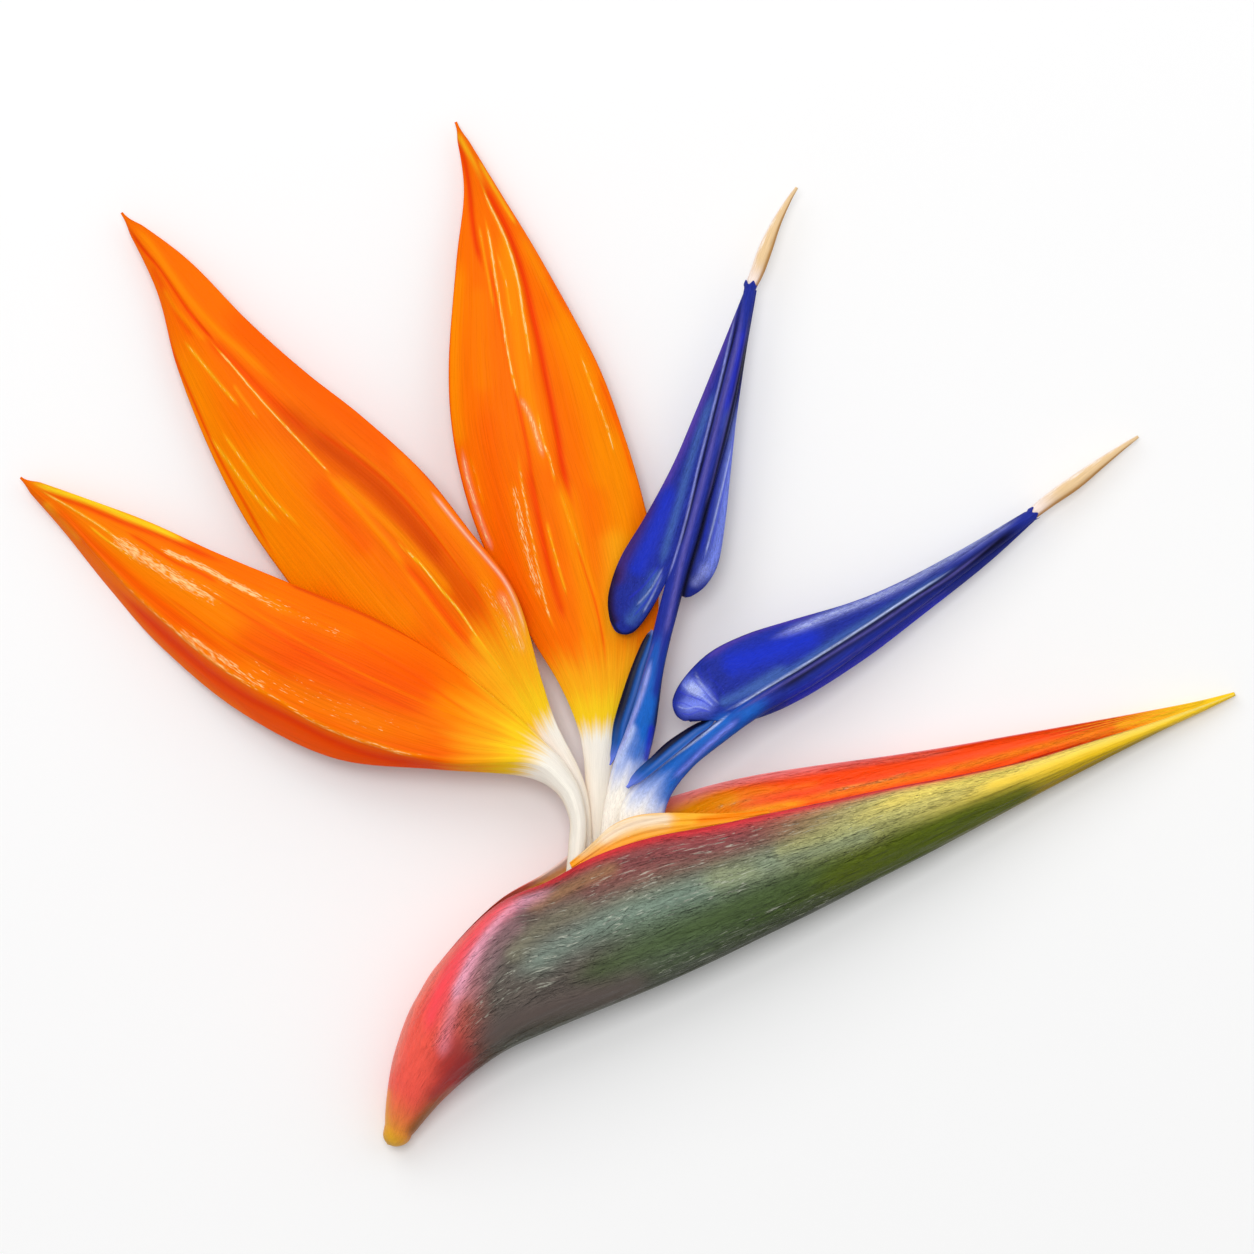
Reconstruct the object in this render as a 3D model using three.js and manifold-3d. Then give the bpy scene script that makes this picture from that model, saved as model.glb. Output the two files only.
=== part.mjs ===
// Cut bird of paradise flower head, lying on its side
// Millimetres. X runs along the beak, Y towards the petals, Z up from the surface that it lies on.
// The origin is the middle of the small flat spot under the spathe, which the shapes below see at REST_SPOT.
import * as THREE from "three";
import { mergeVertices } from "three/addons/utils/BufferGeometryUtils.js";
import Module from "manifold-3d";

const wasm = await Module();
wasm.setup();

// Driving dimensions
const SURFACE_Z = 0;
const REST_SPOT = [-2.3, 9.2];
const CLEARANCE = 0.3;
const CLAW_THICKNESS = 2;
const SEPAL_THICKNESS = 1;
const WING_THICKNESS = 0.9;
const NECTAR_THICKNESS = 0.7;
const BRACTEOLE_THICKNESS = 0.7;
const THINNEST_EDGE = 0.6;
const KEEL_WALL = 2.2;
const SEPAL_BULGE = [0.06, 0.04];
const WING_BULGE = 0.08;
const NECTAR_BULGE = 0.12;
const BRACTEOLE_BULGE = 0.05;

// Spathe sections from the neck to the beak tip:
// keel x y, near rim x y, far rim x y, middle height, half thickness, half gap, openness, wall
const SPATHE_SECTIONS = [
  [-53, -41.4, -54.4, -40.4, -54.4, -40.4, 4.5, 0.8, 0.15, 0, 0.1],
  [-50.3, -39.5, -55.2, -37.2, -55.2, -37.2, 4.8, 3, 0.4, 0, 0.2],
  [-46.8, -35.4, -54.6, -29.9, -54.6, -29.9, 6, 5.4, 0.6, 0, 0.3],
  [-43.4, -31.8, -53, -22.6, -53, -22.6, 7.3, 7, 0.8, 0, 0.4],
  [-38.5, -27.5, -49.4, -13.8, -49.4, -13.8, 9, 8.8, 1, 0, 0.6],
  [-32.2, -23.2, -43, -4.5, -43, -4.5, 10.2, 10, 1.2, 0.05, 1],
  [-24, -19.5, -33.9, 4.1, -34.1, 4.5, 10.8, 10.7, 1.6, 0.55, 1.4],
  [-13.8, -15.3, -24.5, 8.4, -25.1, 9.9, 10.9, 10.9, 5, 1, 1.6],
  [-5.2, -11.8, -15.7, 13.1, -17, 16.1, 10.9, 11.3, 6.8, 1, 1.6],
  [4.9, -7.3, -5.6, 16.5, -7.9, 21.7, 10.8, 11.3, 7, 1, 1.6],
  [15, -2.4, 6, 18.7, 3.2, 25.4, 10.4, 10.6, 6.6, 1, 1.6],
  [25.3, 2.6, 16.8, 21, 13.7, 27.9, 9.8, 9.6, 5.6, 1, 1.5],
  [35.6, 7.9, 28.4, 23.4, 25.4, 29.8, 8.9, 8.6, 4.4, 1, 1.4],
  [45.8, 13.1, 39.9, 25.8, 37.2, 31.4, 7.8, 7.5, 3.1, 0.95, 1.3],
  [57.1, 19.1, 52.4, 28.1, 49.8, 33.3, 6.4, 6.2, 2.4, 0.85, 1.2],
  [68.3, 25.1, 65.3, 30.9, 62.9, 35.6, 4.9, 5, 1.8, 0.65, 1.1],
  [79.5, 30.9, 77.1, 34.4, 75.4, 37.8, 3.9, 3.7, 1.3, 0.45, 0.9],
  [89.8, 36.1, 88.3, 37.8, 87.4, 40, 2.9, 2.5, 0.8, 0.25, 0.6],
  [98.2, 40, 97.7, 41, 97.1, 41.9, 2.1, 1.5, 0.4, 0.1, 0.3],
  [104.2, 42.9, 104.1, 43.3, 103.9, 43.6, 1.6, 0.5, 0.15, 0, 0.1],
];

// Bracteole: the spathe sections that it runs between, its ease under the rim in mm, the angle that it
// laps the inner face by, and how far it stands past the near rim along its length
const BRACTEOLE_FROM = 7.5;
const BRACTEOLE_TO = 11;
const BRACTEOLE_EASE = 0.35;
const BRACTEOLE_LAP = 0.35;
const BRACTEOLE_RISE = [[0.9], [1.8], [3.6], [4.4], [4], [3], [1.9], [1], [0.5]];

// Sepals from claw to tip: one edge, the crest, the other edge, each x y z
const SEPAL_LEFT = [
  [[-18.5, 7.7, 12.4], [-19.8, 7.7, 12.8], [-21.1, 7.7, 12.4]],
  [[-18, 14.4, 12.7], [-19.1, 14.6, 13.2], [-20.4, 15, 12.7]],
  [[-18, 21.1, 13.1], [-19.1, 21, 13.8], [-20.4, 20.4, 13.1]],
  [[-20, 27.9, 13], [-21.7, 26.6, 14.2], [-23.4, 25.4, 12.8]],
  [[-26, 35, 12.8], [-28.1, 30.9, 14.8], [-30.3, 28.2, 12.2]],
  [[-40.8, 47.5, 12.4], [-44.9, 31.1, 15.4], [-45.7, 29.4, 12.4]],
  [[-57, 57.4, 11.8], [-62.7, 36.3, 15], [-64.6, 31.4, 9.6]],
  [[-73, 64, 10.4], [-79.5, 44.5, 12.4], [-82.3, 40.1, 5.6]],
  [[-87, 69.8, 8.2], [-93.9, 55.4, 8.6], [-96.9, 52, 1.8]],
  [[-99.2, 75.4, 6.2], [-104.6, 65.1, 5.4], [-107, 63.3, 0]],
  [[-111.3, 79.9, 4.6], [-113.8, 75, 4.2], [-115.6, 74.1, 1.6]],
  [[-123.3, 84.1, 3], [-123.5, 83.8, 3.1], [-123.8, 83.4, 3]],
];
const SEPAL_MIDDLE = [
  [[-19.5, 7.7, 10], [-18.1, 7.7, 10.3], [-16.8, 7.7, 10]],
  [[-19.3, 14.2, 9.9], [-18.1, 14.2, 10.2], [-17, 14.2, 9.9]],
  [[-19.5, 20.8, 9.8], [-18.5, 21.7, 10.1], [-17.4, 22.8, 9.9]],
  [[-22.1, 25.3, 9.4], [-20.6, 27.9, 9.8], [-19.1, 29.6, 9.8]],
  [[-28.1, 30.1, 8.2], [-25.3, 35, 9.6], [-23.2, 38, 10]],
  [[-37.8, 34.2, 7.2], [-30.9, 44.3, 10], [-26, 46.4, 11]],
  [[-52.4, 42.1, 6.6], [-39.1, 55.9, 11], [-30.9, 62.5, 12.6]],
  [[-64.6, 53, 6.4], [-47.7, 67.4, 11.6], [-39.5, 74.1, 12.6]],
  [[-73.2, 64.2, 6.4], [-56.5, 77.3, 11.4], [-48.1, 84.8, 11.8]],
  [[-81.2, 75.8, 6], [-67.4, 87, 10.6], [-59.5, 95.2, 10.6]],
  [[-88.1, 89.3, 5.4], [-78.2, 98.6, 9.2], [-70.1, 103.5, 9]],
  [[-94.1, 104.6, 4.8], [-88.3, 110.2, 7.4], [-80.8, 113, 7]],
  [[-97.9, 118.8, 4.4], [-96.4, 121.8, 5.4], [-92.2, 124.6, 5]],
  [[-104.8, 133.2, 3.6], [-104.6, 133.4, 3.7], [-104.2, 133.5, 3.6]],
];
const SEPAL_UPPER = [
  [[-16.5, 7.7, 8], [-15.3, 7.7, 8.2], [-14.1, 7.7, 8]],
  [[-16.7, 14.4, 8], [-15.2, 14.4, 8.2], [-13.8, 14.4, 8]],
  [[-16.9, 21.9, 8.1], [-15.1, 21.9, 8.4], [-13.3, 21.9, 8.1]],
  [[-17.6, 28.6, 8.3], [-14.9, 29, 8.7], [-12.2, 29.4, 8.2]],
  [[-18.9, 36.5, 8.6], [-14.2, 36.9, 9.2], [-9.9, 37.6, 8.2]],
  [[-22.3, 44.7, 8.4], [-14, 45.8, 9.4], [-6.5, 47.3, 8]],
  [[-27.3, 53.1, 8], [-15, 55.2, 9.8], [-4.1, 58.2, 7.6]],
  [[-33.9, 64.9, 7.6], [-18, 66.4, 10.2], [-4.9, 69.8, 7.4]],
  [[-39.1, 77.3, 7.6], [-21.1, 78.6, 10.6], [-6.9, 79.5, 7.2]],
  [[-42.3, 90.8, 7.8], [-25.3, 90.8, 10.8], [-10.3, 91.1, 7]],
  [[-43.2, 104.8, 7.4], [-27.9, 105.3, 10], [-15.7, 105.5, 6.6]],
  [[-41.8, 124.1, 6.2], [-31.6, 124.1, 8], [-25.8, 124.1, 5.2]],
  [[-40.4, 137.9, 4.6], [-36.9, 136.6, 5.4], [-33.9, 137.5, 4.2]],
  [[-42.2, 150.3, 2.8], [-42, 150.4, 2.9], [-41.7, 150.3, 2.8]],
];

// Arrow ribs from claw to the style: x y z, half width, half height
const ARROW_UPPER_RIB = [
  [-14, 7.7, 10.6, 1.3, 1],
  [-13.5, 14, 10.6, 1.6, 1],
  [-12.3, 20.6, 10.9, 2.2, 1],
  [-9.7, 29, 12.1, 3, 1.2],
  [-7.1, 37.4, 13.2, 2.6, 1.4],
  [-4.7, 48.6, 13.8, 1.8, 1.4],
  [-1.7, 60.8, 13.8, 1.8, 1.4],
  [2.6, 75.8, 13, 1.8, 1.4],
  [7.7, 92.6, 11.2, 1.5, 1.3],
  [11, 107.6, 9, 1.2, 1.2],
  [13.1, 119, 7.4, 1.1, 1.1],
];
const ARROW_RIGHT_RIB = [
  [-7.5, 11.2, 13, 2.6, 1.1],
  [-8, 15.5, 13.1, 3.4, 1.1],
  [-7.1, 21.1, 13.3, 4.1, 1.2],
  [-4, 26.4, 13.7, 3.1, 1.4],
  [0.9, 31.2, 13.9, 2.2, 1.5],
  [6.6, 35.6, 13.7, 2, 1.6],
  [14, 40.9, 12.9, 2, 1.6],
  [26.2, 48.1, 11.2, 2, 1.6],
  [41.2, 58.9, 8.6, 1.8, 1.5],
  [52.4, 67, 6.6, 1.5, 1.4],
  [65.5, 76.5, 4.8, 1.1, 1.1],
];

// Arrow wings from the style end to the free lobe: outer edge, then the root in the rib
const ARROW_UPPER_LEFT_WING = [
  [[12.2, 118.8, 7.2], [13.1, 118.8, 7.4]],
  [[7.7, 107.6, 8], [10.9, 107.6, 8.9]],
  [[2.9, 95.8, 9.4], [7.9, 94.6, 10.9]],
  [[-1.3, 86, 10.2], [5.3, 84.8, 12]],
  [[-6.5, 76.3, 10.8], [2.4, 75.4, 12.8]],
  [[-11, 68.8, 11], [-0.4, 68.3, 13.4]],
  [[-13.2, 62.4, 11], [-3, 63.4, 13.4]],
  [[-13.2, 58, 11.4], [-5.7, 58.5, 13]],
  [[-12.2, 55.3, 12], [-8.2, 55.3, 12.6]],
  [[-10.8, 54.5, 12.3], [-10, 54.5, 12.4]],
];
const ARROW_UPPER_RIGHT_WING = [
  [[14.3, 118.8, 7.2], [13.3, 118.8, 7.4]],
  [[12.3, 107.6, 8], [11.2, 107.6, 8.9]],
  [[10.4, 94.5, 9.2], [8.1, 93.6, 10.9]],
  [[9.4, 85.1, 10], [5.6, 84.8, 12]],
  [[8.4, 75.8, 10.4], [3.2, 75.8, 12.8]],
  [[7.1, 67.9, 10.8], [1.1, 68.3, 13.2]],
  [[4.9, 63.8, 11.4], [0, 64.6, 13.3]],
  [[2.4, 61.8, 12], [-0.4, 62.8, 13.3]],
  [[1, 61.4, 12.6], [-0.4, 61.8, 13.3]],
];
const ARROW_RIGHT_UPPER_WING = [
  [[64.7, 77.3, 4.6], [65.4, 76.6, 4.8]],
  [[53.9, 70.9, 5.5], [54.3, 68.5, 6.4]],
  [[41.7, 64.4, 7], [42.1, 60.1, 8.4]],
  [[32.2, 60.4, 8.2], [34.1, 54.1, 10]],
  [[20.4, 56.9, 9.4], [25.3, 48.3, 11.6]],
  [[12.2, 54.3, 10.4], [17.8, 43.6, 12.6]],
  [[5.6, 51, 11.4], [12.4, 40.2, 13.4]],
  [[0.9, 46.4, 12.6], [8.6, 38.4, 14.2]],
  [[-1.3, 42.3, 13.8], [5.4, 38.4, 15.2]],
  [[-0.7, 39.3, 15], [3.2, 38.3, 15.8]],
  [[1.3, 38.4, 15.8], [2.1, 38.3, 16]],
];
const ARROW_RIGHT_LOWER_WING = [
  [[66.4, 75.8, 4.6], [65.7, 76.3, 4.8]],
  [[57.1, 67.4, 4.8], [55.2, 68.5, 6]],
  [[44.9, 57.8, 6], [43.4, 59.7, 8]],
  [[35.6, 50.7, 7.4], [35.2, 53.3, 9.6]],
  [[26.2, 44.5, 9], [27.7, 48.5, 11]],
  [[20.6, 41.4, 10.2], [21, 44, 11.9]],
  [[17, 39.8, 11.2], [16.5, 41.2, 12.6]],
  [[14.2, 38.8, 12], [14, 39.6, 12.6]],
];

// Nectar petals from base to tip: one edge, the other edge, each x y z
const NECTAR_UPPER = [
  [[-12.8, 33.7, 10.9], [-10.4, 33.7, 11]],
  [[-12.3, 38, 11], [-9, 38, 11.2]],
  [[-10.7, 43.4, 11.2], [-7.2, 43.2, 11.6]],
  [[-9, 48.3, 11.3], [-6, 48.1, 11.7]],
  [[-7.1, 52.8, 11.5], [-4.8, 52.2, 11.7]],
  [[-5.5, 55.4, 11.7], [-4.7, 55, 11.8]],
];
const NECTAR_RIGHT = [
  [[-10.2, 26, 14.2], [-9.4, 25.5, 14.9]],
  [[-8.2, 28.8, 14.5], [-5.9, 28, 15.8]],
  [[-5.6, 31.2, 14.7], [-2.9, 30.4, 15.9]],
  [[-2.4, 34.2, 14.4], [0.2, 32.9, 15.9]],
  [[1.8, 37, 13.9], [3.4, 35.6, 15.6]],
  [[4, 37.9, 13.7], [4.8, 37.2, 14.6]],
];

// Styles from the arrow to the tip: x y z, half width, half height
const STYLE_UPPER = [
  [13.3, 119.6, 7.3, 1.1, 1],
  [14.6, 122.6, 6.9, 1.3, 1.1],
  [16.1, 126.7, 6.4, 1.3, 1],
  [18.1, 131.5, 5.7, 0.9, 0.8],
  [20.4, 135.8, 5.1, 0.5, 0.5],
  [21.9, 138.1, 4.8, 0.3, 0.3],
];
const STYLE_RIGHT = [
  [66, 77, 4.7, 1.1, 1],
  [69.2, 79.5, 4.3, 1.3, 1.1],
  [74.1, 82.9, 3.7, 1.35, 1.1],
  [78.6, 86.3, 3.2, 1, 0.9],
  [82.7, 89.3, 2.7, 0.6, 0.6],
  [85.9, 91.5, 2.4, 0.3, 0.3],
];

// Ovaries inside the spathe, from the neck to the claws: x y z, half width, half height
const OVARY_FIRST = [
  [-30, -13.5, 10.6, 2.2, 2.2],
  [-23.5, -6.5, 10.6, 3.8, 3.2],
  [-17.8, 1.5, 10.7, 4.6, 3.6],
  [-17.6, 7.3, 10.8, 4.6, 3.7],
];
const OVARY_SECOND = [
  [-17, -13.5, 11, 2, 2],
  [-11.5, -4.5, 11.8, 2.8, 2.6],
  [-7.6, 4.5, 12.8, 3, 2.4],
  [-7.5, 10.3, 13, 3, 2.2],
];

// Smooth value at t along rows of numbers, one row for each whole t
function along(rows, t) {
  const last = rows.length - 1;
  const i = Math.min(Math.floor(t), last - 1);
  const f = t - i;
  const at = (k, c) => {
    if (k < 0) return 2 * rows[0][c] - rows[1][c];
    if (k > last) return 2 * rows[last][c] - rows[last - 1][c];
    return rows[k][c];
  };
  return rows[0].map((_, c) => {
    const [a, b, d, e] = [at(i - 1, c), at(i, c), at(i + 1, c), at(i + 2, c)];
    const bend = 2 * a - 5 * b + 4 * d - e + f * (3 * b - a - 3 * d + e);
    return b + 0.5 * f * (d - a + f * bend);
  });
}

function smooth(from, to, t) {
  const f = THREE.MathUtils.clamp((t - from) / (to - from), 0, 1);
  return f * f * (3 - 2 * f);
}

// Closed surface from rings of points, with a fan over each end
function closedLoft(rings) {
  const n = rings[0].length;
  const middle = (ring) => ring.reduce((s, p) => s.add(p), new THREE.Vector3()).divideScalar(n);
  const points = [...rings.flat(), middle(rings[0]), middle(rings.at(-1))];
  const first = points.length - 2;
  const index = [];
  for (let i = 0; i < rings.length - 1; i++) {
    for (let j = 0; j < n; j++) {
      const a = i * n + j;
      const b = i * n + ((j + 1) % n);
      index.push(a, b, b + n, a, b + n, a + n);
    }
  }
  for (let j = 0; j < n; j++) {
    const k = (j + 1) % n;
    const end = (rings.length - 1) * n;
    index.push(first, k, j, first + 1, end + j, end + k);
  }
  return outward(points, index);
}

// Geometry whose faces point out of the body
function outward(points, index) {
  let volume = 0;
  const cross = new THREE.Vector3();
  for (let i = 0; i < index.length; i += 3) {
    const [a, b, c] = [points[index[i]], points[index[i + 1]], points[index[i + 2]]];
    volume += a.dot(cross.crossVectors(b, c));
  }
  const turned = volume < 0 ? index.toReversed() : index;
  const geometry = new THREE.BufferGeometry().setFromPoints(points);
  geometry.setIndex(turned);
  return geometry;
}

function raised(point) {
  point.z = Math.max(point.z, SURFACE_Z);
  return point;
}

// Blade over rails that run from base to tip, thick at a claw and thin at its edges
function blade({ rails, steps, across, bulge, thickness }) {
  const rows = rails.map((station) => station.flat());
  const grid = [];
  for (let i = 0; i <= steps; i++) {
    const t = (i / steps) * (rows.length - 1);
    const flat = along(rows, t);
    const rail = (k) => new THREE.Vector3(...flat.slice(3 * k, 3 * k + 3));
    const line = [rail(0)];
    across.forEach((cells, k) => {
      const width = rail(k).distanceTo(rail(k + 1));
      for (let j = 1; j <= cells; j++) {
        const point = rail(k).lerp(rail(k + 1), j / cells);
        point.z += bulge[k] * width * Math.sin((Math.PI * j) / cells);
        line.push(point);
      }
    });
    grid.push(line);
  }
  const columns = grid[0].length;
  const near = (k, last) => THREE.MathUtils.clamp(k, 0, last);
  const rings = grid.map((line, i) => {
    const t = (i / steps) * (rows.length - 1);
    const over = [];
    const under = [];
    line.forEach((point, j) => {
      const length = grid[near(i + 1, steps)][j].clone().sub(grid[near(i - 1, steps)][j]);
      const width = line[near(j + 1, columns - 1)].clone().sub(line[near(j - 1, columns - 1)]);
      const normal = width.cross(length).normalize();
      if (normal.z < 0) normal.negate();
      const edge = Math.sin((Math.PI * j) / (columns - 1)) ** 0.5;
      const thick = THREE.MathUtils.lerp(THINNEST_EDGE, thickness(t), edge) / 2;
      over.push(raised(point.clone().addScaledVector(normal, thick)));
      under.push(raised(point.clone().addScaledVector(normal, -thick)));
    });
    return [...over, ...under.reverse()];
  });
  return closedLoft(rings);
}

// Stalk of oval sections along rows of x y z, half width, half height
function stalk(rows, steps, sides) {
  const rings = [];
  const up = new THREE.Vector3(0, 0, 1);
  for (let i = 0; i <= steps; i++) {
    const t = (i / steps) * (rows.length - 1);
    const [x, y, z, halfWidth, halfHeight] = along(rows, t);
    const ahead = new THREE.Vector3(...along(rows, Math.min(t + 0.05, rows.length - 1)));
    const behind = new THREE.Vector3(...along(rows, Math.max(t - 0.05, 0)));
    const course = ahead.sub(behind).normalize();
    const side = course.clone().cross(up).normalize();
    const top = side.clone().cross(course);
    const ring = [];
    for (let j = 0; j < sides; j++) {
      const angle = (2 * Math.PI * j) / sides;
      const point = new THREE.Vector3(x, y, z);
      point.addScaledVector(side, halfWidth * Math.cos(angle));
      ring.push(point.addScaledVector(top, halfHeight * Math.sin(angle)));
    }
    rings.push(ring);
  }
  return closedLoft(rings);
}

// One section of the spathe. Angle 0 looks to the petals and PI to the keel.
function spatheSection(t) {
  const row = along(SPATHE_SECTIONS, t);
  const [keelX, keelY, nearX, nearY, farX, farY, mid, half, gap, open, wall] = row;
  const keel = new THREE.Vector3(keelX, keelY, mid);
  const rims = [new THREE.Vector3(nearX, nearY, mid), new THREE.Vector3(farX, farY, mid)];
  const rimAngle = Math.asin(Math.min(gap / half, 1));
  const rimCosine = 1 + Math.cos(rimAngle);
  const place = (side, angle, inset, rim) => {
    const reach = (1 + Math.cos(angle)) / rimCosine;
    const start = inset > 0 ? (KEEL_WALL + inset - wall) / keel.distanceTo(rims[0]) : 0;
    const point = keel.clone().lerp(rim ?? rims[side > 0 ? 0 : 1], start + (1 - start) * reach);
    const share = angle < Math.PI / 2 ? 1 : Math.sin(angle);
    point.z += side * Math.max(half * Math.sin(angle) - inset * share, 0);
    return point;
  };
  return { place, rims, rimAngle, open, wall };
}

const OUTER_CELLS = 10;
const INNER_CELLS = 8;
const LEAST_OPEN = 0.2;

// Spathe with its inner face moved in by a clearance
function spathe(clearance, steps = 44) {
  const rings = [];
  for (let i = 0; i <= steps; i++) {
    const { place, rims, rimAngle, open, wall } = spatheSection((i / steps) * (SPATHE_SECTIONS.length - 1));
    const sweep = (k, cells) => rimAngle + ((Math.PI - rimAngle) * k) / cells;
    const ring = [];
    for (let j = -OUTER_CELLS; j <= OUTER_CELLS; j++) {
      ring.push(raised(place(j < 0 ? -1 : 1, sweep(OUTER_CELLS - Math.abs(j), OUTER_CELLS), 0)));
    }
    for (let j = -INNER_CELLS; j <= INNER_CELLS; j++) {
      const side = j < 0 ? 1 : -1;
      const inset = wall + clearance / Math.max(open, LEAST_OPEN);
      const hollow = place(side, sweep(INNER_CELLS - Math.abs(j), INNER_CELLS), inset);
      const rim = rims[0].clone().lerp(rims[1], (j + INNER_CELLS) / (2 * INNER_CELLS));
      const lid = place(side, (rimAngle * Math.abs(j)) / INNER_CELLS, wall, rim);
      ring.push(lid.lerp(hollow, open));
    }
    rings.push(ring);
  }
  return closedLoft(rings);
}

// Bracteole: a thin lining of the near rim that stands past it
function bracteole() {
  const stations = 12;
  const under = CLEARANCE + BRACTEOLE_THICKNESS / 2 + BRACTEOLE_EASE;
  const rails = [];
  for (let i = 0; i <= stations; i++) {
    const t = THREE.MathUtils.lerp(BRACTEOLE_FROM, BRACTEOLE_TO, i / stations);
    const { place, rimAngle, wall } = spatheSection(t);
    const [rise] = along(BRACTEOLE_RISE, (i / stations) * (BRACTEOLE_RISE.length - 1));
    const lining = (angle) => {
      const slope = place(1, angle + 0.05, wall).sub(place(1, angle, wall));
      const flat = Math.hypot(slope.x, slope.y);
      const inward = new THREE.Vector3(-slope.x * (slope.z / flat), -slope.y * (slope.z / flat), flat);
      return place(1, angle, wall).addScaledVector(inward.normalize(), -under);
    };
    const level = lining(rimAngle);
    const out = level.clone().sub(place(1, Math.PI, 0)).setZ(0).normalize();
    const free = level.clone().addScaledVector(out, rise + under);
    rails.push([lining(rimAngle + BRACTEOLE_LAP), level, free].map((p) => p.toArray()));
  }
  const bulge = [0, BRACTEOLE_BULGE];
  return blade({ rails, steps: 26, across: [2, 3], bulge, thickness: () => BRACTEOLE_THICKNESS });
}

function solid(geometry) {
  const bare = geometry.clone();
  bare.deleteAttribute("normal");
  bare.deleteAttribute("uv");
  const merged = mergeVertices(bare, 1e-3);
  const mesh = new wasm.Mesh({
    numProp: 3,
    vertProperties: merged.attributes.position.array,
    triVerts: new Uint32Array(merged.index.array),
  });
  return new wasm.Manifold(mesh);
}

function fromSolid(body) {
  const mesh = body.getMesh();
  const geometry = new THREE.BufferGeometry();
  geometry.setAttribute("position", new THREE.BufferAttribute(mesh.vertProperties, 3));
  geometry.setIndex(new THREE.BufferAttribute(mesh.triVerts, 1));
  return geometry;
}

function sepal(rails) {
  const thickness = (t) => THREE.MathUtils.lerp(CLAW_THICKNESS, SEPAL_THICKNESS, smooth(2, 6, t));
  return blade({ rails, steps: 30, across: [4, 4], bulge: SEPAL_BULGE, thickness });
}

function arrow(rib, wings) {
  const wing = (rails) => {
    return blade({ rails, steps: 20, across: [4], bulge: [WING_BULGE], thickness: () => WING_THICKNESS });
  };
  const body = wings.reduce((sum, rails) => sum.add(solid(wing(rails))), solid(stalk(rib, 26, 10)));
  return fromSolid(body);
}

function nectarPetal(rails) {
  return blade({ rails, steps: 10, across: [3], bulge: [NECTAR_BULGE], thickness: () => NECTAR_THICKNESS });
}

function ovary(rows) {
  return fromSolid(solid(stalk(rows, 10, 12)).subtract(solid(spathe(CLEARANCE))));
}

const flower = new THREE.Group();
flower.position.set(-REST_SPOT[0], -REST_SPOT[1], 0);

function add(name, geometry, colour, roughness) {
  geometry.computeVertexNormals();
  const material = new THREE.MeshStandardMaterial({ color: colour, roughness, metalness: 0 });
  const mesh = new THREE.Mesh(geometry, material);
  mesh.name = name;
  flower.add(mesh);
}

add("spathe", spathe(0), 0x5f7048, 0.5);
add("bracteole", bracteole(), 0xf0b25a, 0.5);
add("ovary_first", ovary(OVARY_FIRST), 0xe9e2c8, 0.6);
add("ovary_second", ovary(OVARY_SECOND), 0xe9e2c8, 0.6);
add("sepal_left", sepal(SEPAL_LEFT), 0xff6a00, 0.45);
add("sepal_middle", sepal(SEPAL_MIDDLE), 0xff8000, 0.45);
add("sepal_upper", sepal(SEPAL_UPPER), 0xff8c00, 0.45);
add("arrow_upper", arrow(ARROW_UPPER_RIB, [ARROW_UPPER_LEFT_WING, ARROW_UPPER_RIGHT_WING]), 0x2b2f9b, 0.4);
add("arrow_right", arrow(ARROW_RIGHT_RIB, [ARROW_RIGHT_UPPER_WING, ARROW_RIGHT_LOWER_WING]), 0x2b35b0, 0.4);
add("style_upper", stalk(STYLE_UPPER, 14, 10), 0xe8c78c, 0.5);
add("style_right", stalk(STYLE_RIGHT, 14, 10), 0xe8c78c, 0.5);
add("nectar_petal_upper", nectarPetal(NECTAR_UPPER), 0x1f2f80, 0.4);
add("nectar_petal_right", nectarPetal(NECTAR_RIGHT), 0x1f3f95, 0.4);

export default flower;
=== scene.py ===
"""Bird of paradise flower head, cut and laid on its side.

Builds the bract, the bracteole, the orange sepals, the blue arrows with their styles and nectar
petals and a plain studio stage, and gives the hidden ovaries their skin. The shapes follow rails in
millimetres. X runs along the beak, Y towards the petals and Z up from the surface.
"""

import bpy
import numpy as np
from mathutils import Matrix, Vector


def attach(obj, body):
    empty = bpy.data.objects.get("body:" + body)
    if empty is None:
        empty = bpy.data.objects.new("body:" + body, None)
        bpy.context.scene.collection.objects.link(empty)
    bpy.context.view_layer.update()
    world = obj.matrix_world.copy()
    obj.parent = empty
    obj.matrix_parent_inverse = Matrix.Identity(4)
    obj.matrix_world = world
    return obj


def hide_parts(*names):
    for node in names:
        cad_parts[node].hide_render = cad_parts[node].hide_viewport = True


bl_info = {
    "name": "Bird of Paradise Flower Head",
    "version": (1, 0, 0),
    "blender": (4, 5, 0),
    "location": "3D View > Sidebar > Flower",
    "description": "Builds a cut bird of paradise flower head and its studio stage",
    "category": "Add Mesh",
}

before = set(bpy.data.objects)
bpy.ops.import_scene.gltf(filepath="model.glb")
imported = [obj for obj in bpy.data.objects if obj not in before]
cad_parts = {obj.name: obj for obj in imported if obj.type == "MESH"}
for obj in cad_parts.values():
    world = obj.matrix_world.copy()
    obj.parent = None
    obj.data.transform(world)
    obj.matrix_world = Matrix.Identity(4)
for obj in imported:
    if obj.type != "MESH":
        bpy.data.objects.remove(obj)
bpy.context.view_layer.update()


# Millimetres in a metre, and what the camera shows, in metres
MILLIMETRES = 1000
VIEW_WIDTH = 0.2346
VIEW_MIDDLE = (-0.0076, 0.0466)
VIEW_LEVEL = 0.008
FLOOR_REACH = 4.0

# Shapes, in millimetres
REST_SPOT = (-2.3, 9.2)
CLEARANCE = 0.3
CLAW_THICKNESS = 2
SEPAL_THICKNESS = 1
WING_THICKNESS = 0.9
NECTAR_THICKNESS = 0.7
BRACTEOLE_THICKNESS = 0.7
BRACTEOLE_EASE = 0.35
KEEL_WALL = 2.2
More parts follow.
